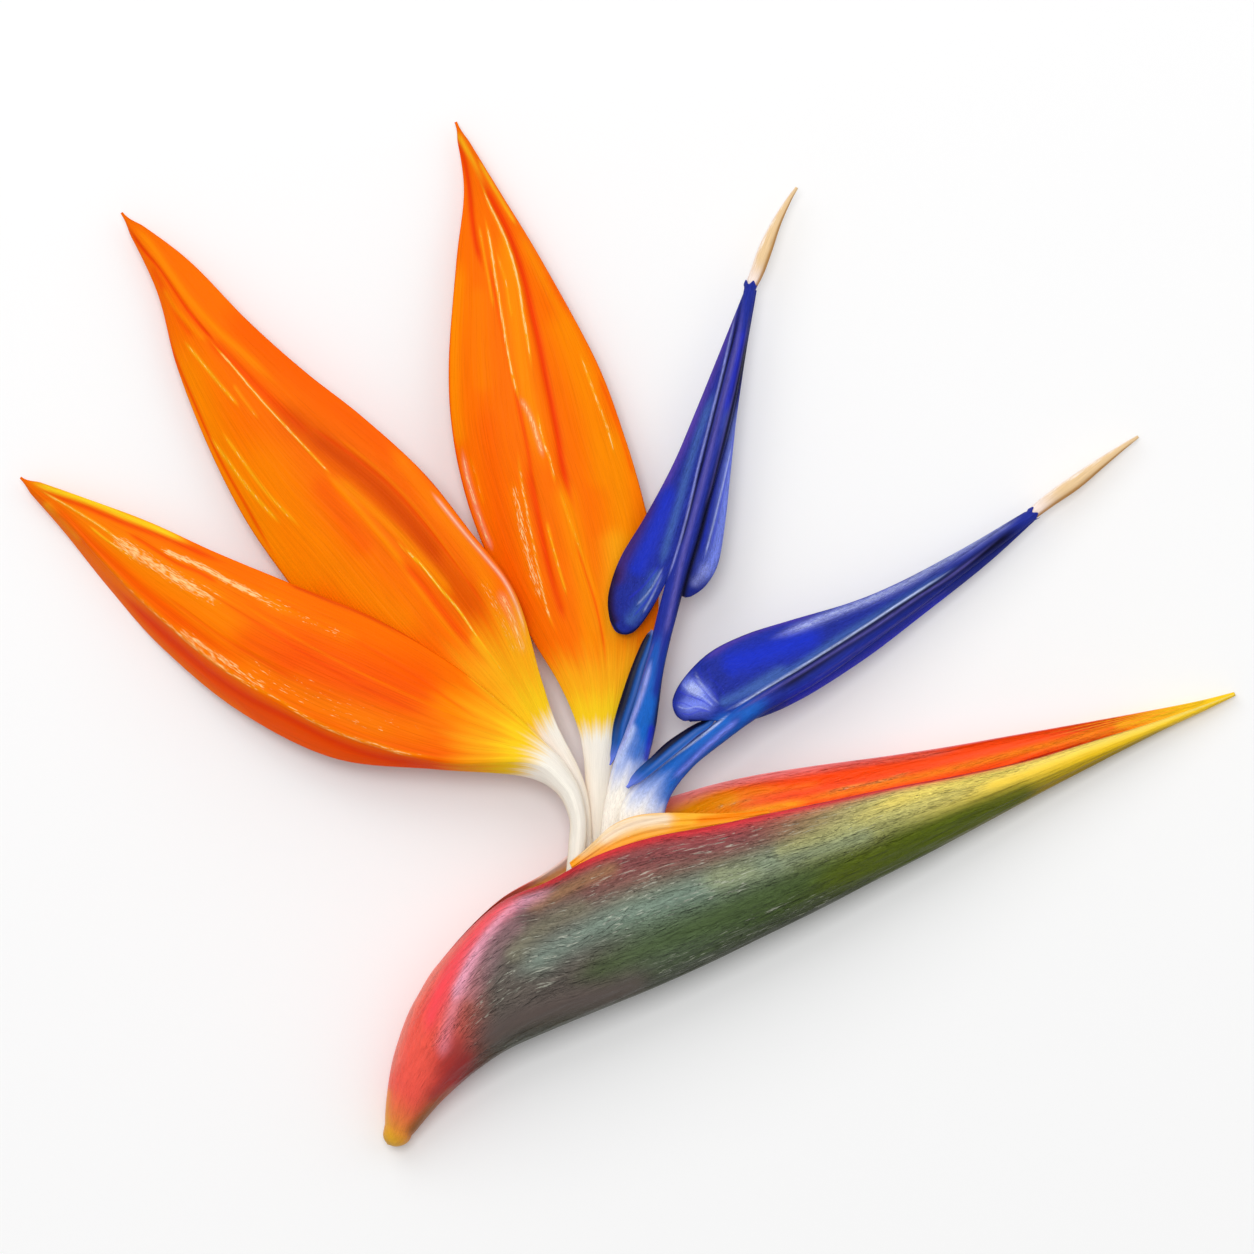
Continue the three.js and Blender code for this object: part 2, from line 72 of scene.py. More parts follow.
# The bracteole's bulge as a share of its width, the stations of the spathe that it runs between, and
# the angle that it reaches down inside the near rim, in radians
BRACTEOLE_BULGE = 0.05
BRACTEOLE_FROM = 7.5
BRACTEOLE_TO = 11
BRACTEOLE_LAP = 0.35
# Spathe: x and y of the keel, the near rim and the far rim, height, half depth, half the gap between
# the rims, how open the trough is, and wall, from the neck to the beak
SPATHE_SECTIONS = [
    [-53, -41.4, -54.4, -40.4, -54.4, -40.4, 4.5, 0.8, 0.15, 0, 0.1],
    [-50.3, -39.5, -55.2, -37.2, -55.2, -37.2, 4.8, 3, 0.4, 0, 0.2],
    [-46.8, -35.4, -54.6, -29.9, -54.6, -29.9, 6, 5.4, 0.6, 0, 0.3],
    [-43.4, -31.8, -53, -22.6, -53, -22.6, 7.3, 7, 0.8, 0, 0.4],
    [-38.5, -27.5, -49.4, -13.8, -49.4, -13.8, 9, 8.8, 1, 0, 0.6],
    [-32.2, -23.2, -43, -4.5, -43, -4.5, 10.2, 10, 1.2, 0.05, 1],
    [-24, -19.5, -33.9, 4.1, -34.1, 4.5, 10.8, 10.7, 1.6, 0.55, 1.4],
    [-13.8, -15.3, -24.5, 8.4, -25.1, 9.9, 10.9, 10.9, 5, 1, 1.6],
    [-5.2, -11.8, -15.7, 13.1, -17, 16.1, 10.9, 11.3, 6.8, 1, 1.6],
    [4.9, -7.3, -5.6, 16.5, -7.9, 21.7, 10.8, 11.3, 7, 1, 1.6],
    [15, -2.4, 6, 18.7, 3.2, 25.4, 10.4, 10.6, 6.6, 1, 1.6],
    [25.3, 2.6, 16.8, 21, 13.7, 27.9, 9.8, 9.6, 5.6, 1, 1.5],
    [35.6, 7.9, 28.4, 23.4, 25.4, 29.8, 8.9, 8.6, 4.4, 1, 1.4],
    [45.8, 13.1, 39.9, 25.8, 37.2, 31.4, 7.8, 7.5, 3.1, 0.95, 1.3],
    [57.1, 19.1, 52.4, 28.1, 49.8, 33.3, 6.4, 6.2, 2.4, 0.85, 1.2],
    [68.3, 25.1, 65.3, 30.9, 62.9, 35.6, 4.9, 5, 1.8, 0.65, 1.1],
    [79.5, 30.9, 77.1, 34.4, 75.4, 37.8, 3.9, 3.7, 1.3, 0.45, 0.9],
    [89.8, 36.1, 88.3, 37.8, 87.4, 40, 2.9, 2.5, 0.8, 0.25, 0.6],
    [98.2, 40, 97.7, 41, 97.1, 41.9, 2.1, 1.5, 0.4, 0.1, 0.3],
    [104.2, 42.9, 104.1, 43.3, 103.9, 43.6, 1.6, 0.5, 0.15, 0, 0.1],
]
# How far the bracteole stands past the near rim, from its first end to its last
BRACTEOLE_RISE = [[0.9], [1.8], [3.6], [4.4], [4], [3], [1.9], [1], [0.5]]
# Sepals: one edge, the ridge and the other edge, each x y z, from the claw to the tip
SEPAL_LEFT = [
    [[-18.5, 7.7, 12.4], [-19.8, 7.7, 12.8], [-21.1, 7.7, 12.4]],
    [[-18, 14.4, 12.7], [-19.1, 14.6, 13.2], [-20.4, 15, 12.7]],
    [[-18, 21.1, 13.1], [-19.1, 21, 13.8], [-20.4, 20.4, 13.1]],
    [[-20, 27.9, 13], [-21.7, 26.6, 14.2], [-23.4, 25.4, 12.8]],
    [[-26, 35, 12.8], [-28.1, 30.9, 14.8], [-30.3, 28.2, 12.2]],
    [[-40.8, 47.5, 12.4], [-44.9, 31.1, 15.4], [-45.7, 29.4, 12.4]],
    [[-57, 57.4, 11.8], [-62.7, 36.3, 15], [-64.6, 31.4, 9.6]],
    [[-73, 64, 10.4], [-79.5, 44.5, 12.4], [-82.3, 40.1, 5.6]],
    [[-87, 69.8, 8.2], [-93.9, 55.4, 8.6], [-96.9, 52, 1.8]],
    [[-99.2, 75.4, 6.2], [-104.6, 65.1, 5.4], [-107, 63.3, 0]],
    [[-111.3, 79.9, 4.6], [-113.8, 75, 4.2], [-115.6, 74.1, 1.6]],
    [[-123.3, 84.1, 3], [-123.5, 83.8, 3.1], [-123.8, 83.4, 3]],
]
SEPAL_MIDDLE = [
    [[-19.5, 7.7, 10], [-18.1, 7.7, 10.3], [-16.8, 7.7, 10]],
    [[-19.3, 14.2, 9.9], [-18.1, 14.2, 10.2], [-17, 14.2, 9.9]],
    [[-19.5, 20.8, 9.8], [-18.5, 21.7, 10.1], [-17.4, 22.8, 9.9]],
    [[-22.1, 25.3, 9.4], [-20.6, 27.9, 9.8], [-19.1, 29.6, 9.8]],
    [[-28.1, 30.1, 8.2], [-25.3, 35, 9.6], [-23.2, 38, 10]],
    [[-37.8, 34.2, 7.2], [-30.9, 44.3, 10], [-26, 46.4, 11]],
    [[-52.4, 42.1, 6.6], [-39.1, 55.9, 11], [-30.9, 62.5, 12.6]],
    [[-64.6, 53, 6.4], [-47.7, 67.4, 11.6], [-39.5, 74.1, 12.6]],
    [[-73.2, 64.2, 6.4], [-56.5, 77.3, 11.4], [-48.1, 84.8, 11.8]],
    [[-81.2, 75.8, 6], [-67.4, 87, 10.6], [-59.5, 95.2, 10.6]],
    [[-88.1, 89.3, 5.4], [-78.2, 98.6, 9.2], [-70.1, 103.5, 9]],
    [[-94.1, 104.6, 4.8], [-88.3, 110.2, 7.4], [-80.8, 113, 7]],
    [[-97.9, 118.8, 4.4], [-96.4, 121.8, 5.4], [-92.2, 124.6, 5]],
    [[-104.8, 133.2, 3.6], [-104.6, 133.4, 3.7], [-104.2, 133.5, 3.6]],
]
SEPAL_UPPER = [
    [[-16.5, 7.7, 8], [-15.3, 7.7, 8.2], [-14.1, 7.7, 8]],
    [[-16.7, 14.4, 8], [-15.2, 14.4, 8.2], [-13.8, 14.4, 8]],
    [[-16.9, 21.9, 8.1], [-15.1, 21.9, 8.4], [-13.3, 21.9, 8.1]],
    [[-17.6, 28.6, 8.3], [-14.9, 29, 8.7], [-12.2, 29.4, 8.2]],
    [[-18.9, 36.5, 8.6], [-14.2, 36.9, 9.2], [-9.9, 37.6, 8.2]],
    [[-22.3, 44.7, 8.4], [-14, 45.8, 9.4], [-6.5, 47.3, 8]],
    [[-27.3, 53.1, 8], [-15, 55.2, 9.8], [-4.1, 58.2, 7.6]],
    [[-33.9, 64.9, 7.6], [-18, 66.4, 10.2], [-4.9, 69.8, 7.4]],
    [[-39.1, 77.3, 7.6], [-21.1, 78.6, 10.6], [-6.9, 79.5, 7.2]],
    [[-42.3, 90.8, 7.8], [-25.3, 90.8, 10.8], [-10.3, 91.1, 7]],
    [[-43.2, 104.8, 7.4], [-27.9, 105.3, 10], [-15.7, 105.5, 6.6]],
    [[-41.8, 124.1, 6.2], [-31.6, 124.1, 8], [-25.8, 124.1, 5.2]],
    [[-40.4, 137.9, 4.6], [-36.9, 136.6, 5.4], [-33.9, 137.5, 4.2]],
    [[-42.2, 150.3, 2.8], [-42, 150.4, 2.9], [-41.7, 150.3, 2.8]],
]
# Ribs: x y z, half width and half height, from the claw to the tip
ARROW_UPPER_RIB = [
    [-14, 7.7, 10.6, 1.3, 1],
    [-13.5, 14, 10.6, 1.6, 1],
    [-12.3, 20.6, 10.9, 2.2, 1],
    [-9.7, 29, 12.1, 3, 1.2],
    [-7.1, 37.4, 13.2, 2.6, 1.4],
    [-4.7, 48.6, 13.8, 1.8, 1.4],
    [-1.7, 60.8, 13.8, 1.8, 1.4],
    [2.6, 75.8, 13, 1.8, 1.4],
    [7.7, 92.6, 11.2, 1.5, 1.3],
    [11, 107.6, 9, 1.2, 1.2],
    [13.1, 119, 7.4, 1.1, 1.1],
]
ARROW_RIGHT_RIB = [
    [-7.5, 11.2, 13, 2.6, 1.1],
    [-8, 15.5, 13.1, 3.4, 1.1],
    [-7.1, 21.1, 13.3, 4.1, 1.2],
    [-4, 26.4, 13.7, 3.1, 1.4],
    [0.9, 31.2, 13.9, 2.2, 1.5],
    [6.6, 35.6, 13.7, 2, 1.6],
    [14, 40.9, 12.9, 2, 1.6],
    [26.2, 48.1, 11.2, 2, 1.6],
    [41.2, 58.9, 8.6, 1.8, 1.5],
    [52.4, 67, 6.6, 1.5, 1.4],
    [65.5, 76.5, 4.8, 1.1, 1.1],
]
# Wings: the free edge and the edge at the rib, each x y z, from the tip to the lobe
ARROW_UPPER_LEFT_WING = [
    [[12.2, 118.8, 7.2], [13.1, 118.8, 7.4]],
    [[7.7, 107.6, 8], [10.9, 107.6, 8.9]],
    [[2.9, 95.8, 9.4], [7.9, 94.6, 10.9]],
    [[-1.3, 86, 10.2], [5.3, 84.8, 12]],
    [[-6.5, 76.3, 10.8], [2.4, 75.4, 12.8]],
    [[-11, 68.8, 11], [-0.4, 68.3, 13.4]],
    [[-13.2, 62.4, 11], [-3, 63.4, 13.4]],
    [[-13.2, 58, 11.4], [-5.7, 58.5, 13]],
    [[-12.2, 55.3, 12], [-8.2, 55.3, 12.6]],
    [[-10.8, 54.5, 12.3], [-10, 54.5, 12.4]],
]
ARROW_UPPER_RIGHT_WING = [
    [[14.3, 118.8, 7.2], [13.3, 118.8, 7.4]],
    [[12.3, 107.6, 8], [11.2, 107.6, 8.9]],
    [[10.4, 94.5, 9.2], [8.1, 93.6, 10.9]],
    [[9.4, 85.1, 10], [5.6, 84.8, 12]],
    [[8.4, 75.8, 10.4], [3.2, 75.8, 12.8]],
    [[7.1, 67.9, 10.8], [1.1, 68.3, 13.2]],
    [[4.9, 63.8, 11.4], [0, 64.6, 13.3]],
    [[2.4, 61.8, 12], [-0.4, 62.8, 13.3]],
    [[1, 61.4, 12.6], [-0.4, 61.8, 13.3]],
]
ARROW_RIGHT_UPPER_WING = [
    [[64.7, 77.3, 4.6], [65.4, 76.6, 4.8]],
    [[53.9, 70.9, 5.5], [54.3, 68.5, 6.4]],
    [[41.7, 64.4, 7], [42.1, 60.1, 8.4]],
    [[32.2, 60.4, 8.2], [34.1, 54.1, 10]],
    [[20.4, 56.9, 9.4], [25.3, 48.3, 11.6]],
    [[12.2, 54.3, 10.4], [17.8, 43.6, 12.6]],
    [[5.6, 51, 11.4], [12.4, 40.2, 13.4]],
    [[0.9, 46.4, 12.6], [8.6, 38.4, 14.2]],
    [[-1.3, 42.3, 13.8], [5.4, 38.4, 15.2]],
    [[-0.7, 39.3, 15], [3.2, 38.3, 15.8]],
    [[1.3, 38.4, 15.8], [2.1, 38.3, 16]],
]
ARROW_RIGHT_LOWER_WING = [
    [[66.4, 75.8, 4.6], [65.7, 76.3, 4.8]],
    [[57.1, 67.4, 4.8], [55.2, 68.5, 6]],
    [[44.9, 57.8, 6], [43.4, 59.7, 8]],
    [[35.6, 50.7, 7.4], [35.2, 53.3, 9.6]],
    [[26.2, 44.5, 9], [27.7, 48.5, 11]],
    [[20.6, 41.4, 10.2], [21, 44, 11.9]],
    [[17, 39.8, 11.2], [16.5, 41.2, 12.6]],
    [[14.2, 38.8, 12], [14, 39.6, 12.6]],
]
# Nectar petals: one edge and the other, each x y z, from the foot to the tip
NECTAR_UPPER = [
    [[-12.8, 33.7, 10.9], [-10.4, 33.7, 11]],
    [[-12.3, 38, 11], [-9, 38, 11.2]],
    [[-10.7, 43.4, 11.2], [-7.2, 43.2, 11.6]],
    [[-9, 48.3, 11.3], [-6, 48.1, 11.7]],
    [[-7.1, 52.8, 11.5], [-4.8, 52.2, 11.7]],
    [[-5.5, 55.4, 11.7], [-4.7, 55, 11.8]],
]
NECTAR_RIGHT = [
    [[-10.2, 26, 14.2], [-9.4, 25.5, 14.9]],
    [[-8.2, 28.8, 14.5], [-5.9, 28, 15.8]],
    [[-5.6, 31.2, 14.7], [-2.9, 30.4, 15.9]],
    [[-2.4, 34.2, 14.4], [0.2, 32.9, 15.9]],
    [[1.8, 37, 13.9], [3.4, 35.6, 15.6]],
    [[4, 37.9, 13.7], [4.8, 37.2, 14.6]],
]
# What their skins add: a foot below the upper one, and a tip in the place of the right one's last row
NECTAR_UPPER_FOOT = [[[-13.2, 30, 10.9], [-12.8, 30, 11]]]
NECTAR_RIGHT_TIP = [[[4.2, 38.2, 13.7], [5.4, 37, 14.7]], [[6.6, 39.4, 13.6], [7, 38.9, 14]]]
# Styles: x y z, half width and half height, from the foot to the tip
STYLE_UPPER = [
    [13.3, 119.6, 7.3, 1.1, 1],
    [14.6, 122.6, 6.9, 1.3, 1.1],
    [16.1, 126.7, 6.4, 1.3, 1],
    [18.1, 131.5, 5.7, 0.9, 0.8],
    [20.4, 135.8, 5.1, 0.5, 0.5],
    [21.9, 138.1, 4.8, 0.3, 0.3],
]
STYLE_RIGHT = [
    [66, 77, 4.7, 1.1, 1],
    [69.2, 79.5, 4.3, 1.3, 1.1],
    [74.1, 82.9, 3.7, 1.35, 1.1],
    [78.6, 86.3, 3.2, 1, 0.9],
    [82.7, 89.3, 2.7, 0.6, 0.6],
    [85.9, 91.5, 2.4, 0.3, 0.3],
]

# Marks in the order they are laid: colour, strength, half width, height, silk_highlight (how much
# painted highlight streaking it lays), and the line they follow as seen from above. Many marks are
# painted light: light lines on ridges and lit margins are painted highlights, dark lines in
# grooves and valleys and dark facets that look away are painted shade.
SEPAL_LEFT_MARKS = [
    ("light_orange", 0.55, 4.12, 0, 0, [(-119.8, 81), (-106.7, 72), (-93.6, 62.7), (-78.6, 53.3)]),
    ("deep_orange", 0.8, 5.61, 0, 0, [(-82.3, 56.1), (-65.5, 48.6), (-52.4, 45.8), (-42.1, 43)]),
    ("light_orange", 0.7, 3.74, 0, 0, [(-47.7, 44), (-41.2, 40.2), (-33.7, 34.6)]),
    ("deep_orange", 1, 3.18, 0, 0, [(-106.7, 62.7), (-95.4, 53.3), (-84.2, 44), (-73, 37), (-61.7, 32.4),
        (-48.6, 29.9), (-37.4, 29.4)]),
    ("orange", 0.9, 0.94, 0, 0, [(-116, 73.9), (-108.5, 65.5), (-101, 56.7), (-93.6, 49.2),
        (-86.1, 42.7), (-78.2, 37.8)]),
    ("red_orange", 1, 0.84, -0.3, 0, [(-108.5, 66.4), (-101, 58.9), (-94.5, 53), (-87.9, 47.5),
        (-80.5, 42.7), (-73, 38.9), (-65.5, 35), (-58, 32.2), (-50.5, 30.7), (-42.1, 29.8)]),
    ("light_orange", 0.85, 0.3, 0.28, 0.7, [(-118.8, 79.9), (-116, 77.7), (-113, 74.3), (-110, 70.9),
        (-107, 67.7), (-104, 64.6), (-101, 61.6), (-97.3, 58.2), (-93.6, 55), (-89.8, 51.8), (-86.1, 49),
        (-82.3, 46.4), (-79, 44.5), (-74.8, 42.3), (-71.1, 40), (-67.4, 38), (-63.6, 36.3), (-59.9, 35),
        (-56.1, 33.9), (-52.4, 32.7), (-48.6, 32), (-43, 31.1), (-37.4, 30.7)]),
    ("yellow", 1, 0.79, 0.1, 0.3, [(-122.7, 83.5), (-117.9, 81.6), (-113.2, 80.1), (-108.5, 78.6),
        (-103.8, 76.5), (-99.2, 74.7), (-95.4, 73), (-90.7, 70.7)]),
    ("red_orange", 0.8, 0.56, -0.2, 0, [(-121.6, 82.5), (-117.9, 80.6), (-113.2, 79), (-108.5, 77.1),
        (-103.8, 75.2), (-99.2, 73.5), (-94.5, 71.7), (-89.8, 69.6), (-83.3, 66.8)]),
    ("amber", 0.9, 0.23, 0.18, 0.7, [(-120.5, 81.8), (-116, 79.3), (-112.3, 77.1), (-108.5, 74.7),
        (-104.8, 72), (-100.1, 69)]),
    ("yellow", 0.6, 0.2, 0.12, 0.4, [(-110.8, 75), (-107.6, 72.4), (-104.8, 70.5), (-101, 67.9)]),
    ("amber", 0.8, 0.56, 0.12, 0.3, [(-119.4, 79.7), (-116.4, 77.1), (-113.8, 74.5), (-111.5, 71.9)]),
    ("light_orange", 0.8, 1.68, 0.12, 0.8, [(-107.6, 73.9), (-102.9, 70.4), (-98.2, 67.4), (-93.6, 64.6),
        (-88.9, 62.1), (-83.3, 59.5)]),
    ("light_orange", 0.6, 0.84, 0.14, 0.9, [(-99.5, 71.3), (-94.5, 69.2), (-89.8, 67.2), (-85.1, 64.6),
        (-80.5, 62.3), (-75.8, 59.7), (-71.5, 57.6)]),
    ("deep_orange", 0.9, 0.37, -0.18, 0, [(-104.4, 74.1), (-99.2, 70.9), (-94.5, 67.9), (-89.8, 65.9),
        (-85.7, 63.6)]),
    ("deep_orange", 0.8, 1.12, -0.15, 0, [(-119.8, 80.1), (-115.1, 76.5), (-110.4, 71.9), (-105.7, 67.7),
        (-101, 63.4), (-95.4, 58.8), (-88.9, 53.5), (-81.4, 49.2)]),
    ("light_orange", 0.5, 0.94, 0, 0.75, [(-95.1, 56.7), (-89.8, 52.8), (-85.1, 49.6), (-80.5, 46.6),
        (-75.8, 43.6)]),
    ("red_orange", 0.35, 2.81, 0, 0.1, [(-85.1, 56.1), (-73, 48.6), (-61.7, 44), (-46.8, 39.9)]),
    ("light_orange", 0.3, 2.06, 0, 0.45, [(-83.3, 51.5), (-73, 44), (-63.6, 39.9), (-51.5, 35)]),
    ("red_orange", 0.4, 0.3, -0.1, 0, [(-91.7, 64.6), (-82.3, 58.6), (-71.1, 51.5), (-58, 44), (-44.9, 38)]),
    ("red_orange", 0.4, 0.26, -0.1, 0, [(-97.3, 62.7), (-86.1, 54.4), (-73, 46.6), (-59.9, 40.6)]),
    ("light_orange", 0.4, 0.22, 0.1, 0.3, [(-84.2, 61.6), (-73, 54.4), (-59.9, 47.3), (-46.8, 41.2),
        (-37.4, 37.4)]),
    ("deep_orange", 0.5, 0.28, -0.1, 0, [(-78.6, 62.7), (-67.4, 56.7), (-54.3, 49.6), (-43, 42.1),
        (-33.7, 35.6)]),
    ("light_orange", 0.3, 1.5, 0, 0.45, [(-79.5, 62.7), (-73, 58.9), (-67.4, 56.1), (-58.9, 53)]),
    ("light_orange", 0.2, 2.25, 0, 0.36, [(-74.8, 47.7), (-65.5, 43), (-56.1, 39.3), (-44.9, 35)]),
    # Painted shadow line along the upper edge, where this sepal lies over the middle one
    ("crimson", 0.7, 0.32, 0, 0, [(-74.3, 64.2), (-71.1, 62.9), (-65.5, 60.6), (-59.9, 58.4),
        (-54.3, 55.8), (-48.6, 53), (-43, 49.6), (-39.3, 47)]),
    ("amber", 0.9, 0.22, 0, 0.4, [(-40.8, 47.5), (-37.4, 44.7), (-33.7, 41.5), (-29.9, 38),
        (-26.2, 34.6), (-23.2, 31.8)]),
]
SEPAL_MIDDLE_MARKS = [
    ("light_orange", 0.8, 4.12, 0, 0, [(-95.4, 113.2), (-88.9, 94.5), (-82.3, 81.4), (-74.8, 68.3),
        (-65.5, 58.9)]),
    ("light_orange", 0.6, 4.86, 0, 0, [(-82.3, 94.5), (-71.1, 75.8), (-59.9, 62.7), (-46.8, 52.4)]),
    ("deep_orange", 0.55, 3.37, 0, 0, [(-87, 116.9), (-76.7, 107.6), (-65.5, 98.2), (-53.3, 87.9),
        (-44.9, 77.7)]),
    ("light_orange", 0.5, 1.68, 0, 0, [(-55.2, 90.7), (-46.8, 80.1), (-39.3, 70.2), (-33.7, 59.9)]),
    ("deep_orange", 0.5, 2.25, 0, 0, [(-69.2, 85.1), (-62.7, 75.8), (-57.1, 68.3)]),
    ("red_orange", 0.95, 0.34, -0.25, 0, [(-104, 131.9), (-100.7, 127), (-97.3, 122.9), (-94.5, 118.8),
        (-91.7, 114.7), (-88.9, 111.3), (-86.1, 108.3)]),
    ("light_orange", 0.8, 0.75, 0.14, 0, [(-102.9, 131.7), (-99.2, 127.4), (-95.8, 122.6),
        (-91.7, 116.9), (-87, 111.7), (-81.4, 106.7), (-73.9, 99.7)]),
    ("deep_orange", 0.7, 0.56, -0.1, 0, [(-99.2, 124.1), (-96.4, 118.8), (-93.6, 113.6), (-90.7, 109.5)]),
    ("light_orange", 0.7, 0.49, 0.1, 0, [(-96.9, 119.9), (-94.5, 115.8), (-91.3, 112.1), (-88.3, 108.9)]),
    ("deep_orange", 1, 0.94, -0.2, 0, [(-88.9, 110.4), (-84.2, 105.9), (-79.5, 101.4), (-73.9, 96),
        (-67.4, 90.4)]),
    ("burnt", 0.6, 2.81, -0.15, 0, [(-78.2, 99.2), (-71.1, 93.6), (-63.6, 87.9), (-57.1, 81.8),
        (-51.5, 75.8), (-45.8, 69), (-39.7, 60.8), (-34.6, 53.3)]),
    ("burnt", 0.75, 1.5, -0.12, 0, [(-71.1, 93), (-64.6, 88.5), (-58, 83.6), (-52.4, 78), (-47.7, 72.4),
        (-43.4, 66.4)]),
    ("red_orange", 0.5, 0.37, -0.1, 0, [(-71.1, 94.5), (-62.7, 88.9), (-54.3, 82.3), (-46.8, 73.9),
        (-40.2, 65.5), (-35.6, 58)]),
    ("light_orange", 0.35, 0.28, 0.08, 0.2, [(-65.5, 92.2), (-57.1, 85.9), (-49.6, 78.4), (-43, 69.8),
        (-37.4, 61.6)]),
    ("amber", 0.95, 0.2, 0.25, 0.95, [(-88.3, 109.8), (-83.3, 104.2), (-78.2, 98.2), (-73, 92.6),
        (-68.3, 87.6), (-64.7, 83.8)]),
    ("light_orange", 0.9, 0.6, 0.18, 0.1, [(-67.7, 86.6), (-62.7, 80.8), (-58, 75.4), (-53.3, 69.6),
        (-48.6, 62.7), (-44, 56.7), (-38.4, 49.6)]),
    ("light_orange", 0.8, 0.94, 0.15, 0, [(-65.5, 85.1), (-58.9, 79.1), (-52.4, 73), (-46.8, 67),
        (-41.5, 60.8)]),
    ("deep_orange", 0.9, 0.84, -0.22, 0, [(-53.3, 69.2), (-48.6, 64.4), (-44.9, 59.5), (-41.5, 55),
        (-38.4, 50.9), (-35.2, 46.8)]),
    ("yellow", 0.9, 0.22, 0.25, 0.85, [(-53.9, 72.6), (-48.6, 67.7), (-44.9, 63.2), (-41.2, 58.9),
        (-37.4, 53.3), (-34.2, 49), (-31.1, 44.5)]),
    ("amber", 0.6, 0.94, 0.1, 0, [(-39.3, 54.8), (-35.6, 49.6), (-32.2, 44.3)]),
    ("yellow", 0.5, 0.3, 0.06, 0.6, [(-93, 109.8), (-88.9, 104.8), (-85.7, 100.9), (-82, 96.7)]),
    ("amber", 0.35, 0.34, 0.05, 0.45, [(-83.6, 101.4), (-81.4, 98.2), (-78.6, 94.5)]),
    ("yellow", 0.5, 0.3, 0.06, 0.62, [(-89.3, 93), (-85.1, 87.8), (-81.8, 83.3), (-78.2, 79),
        (-74.1, 74.7)]),
    ("yellow", 0.45, 0.3, 0.06, 0.58, [(-86.1, 93), (-82.3, 87.9), (-79, 83.3), (-75.8, 79.5),
        (-70.2, 73.9)]),
    ("red_orange", 0.8, 0.32, 0, 0, [(-99.2, 122.9), (-97.1, 115.4), (-94.9, 107.6), (-90.9, 98.2),
        (-86.3, 87.9), (-80.6, 77.7), (-74.3, 66.4)]),
    ("crimson", 0.75, 0.32, 0, 0, [(-52.8, 90.2), (-44.9, 81.4), (-38.4, 73), (-34.1, 67.9),
        (-30.9, 62.7), (-28.8, 57.1), (-27.3, 51.8)]),
    ("blush", 0.6, 0.3, 0.3, 0.7, [(-46.8, 81.4), (-44.5, 78.6), (-40.2, 73.3), (-36.5, 69),
        (-33.1, 64.9), (-31.1, 61.2), (-29.6, 57.1), (-28.4, 51.8)]),
    ("blush", 0.15, 0.94, 0, 0.7, [(-34.1, 63.1), (-31.8, 58.6), (-30.3, 54.4), (-29, 50)]),
    ("yellow", 0.8, 0.2, 0.1, 0.5, [(-28.3, 53.3), (-26.6, 47.7), (-25.1, 42.1), (-23.2, 36.1)]),
    ("light_orange", 0.5, 1.31, 0, 0.5, [(-37.8, 66), (-34.6, 59.9), (-32.2, 54.8), (-30.3, 50)]),
]
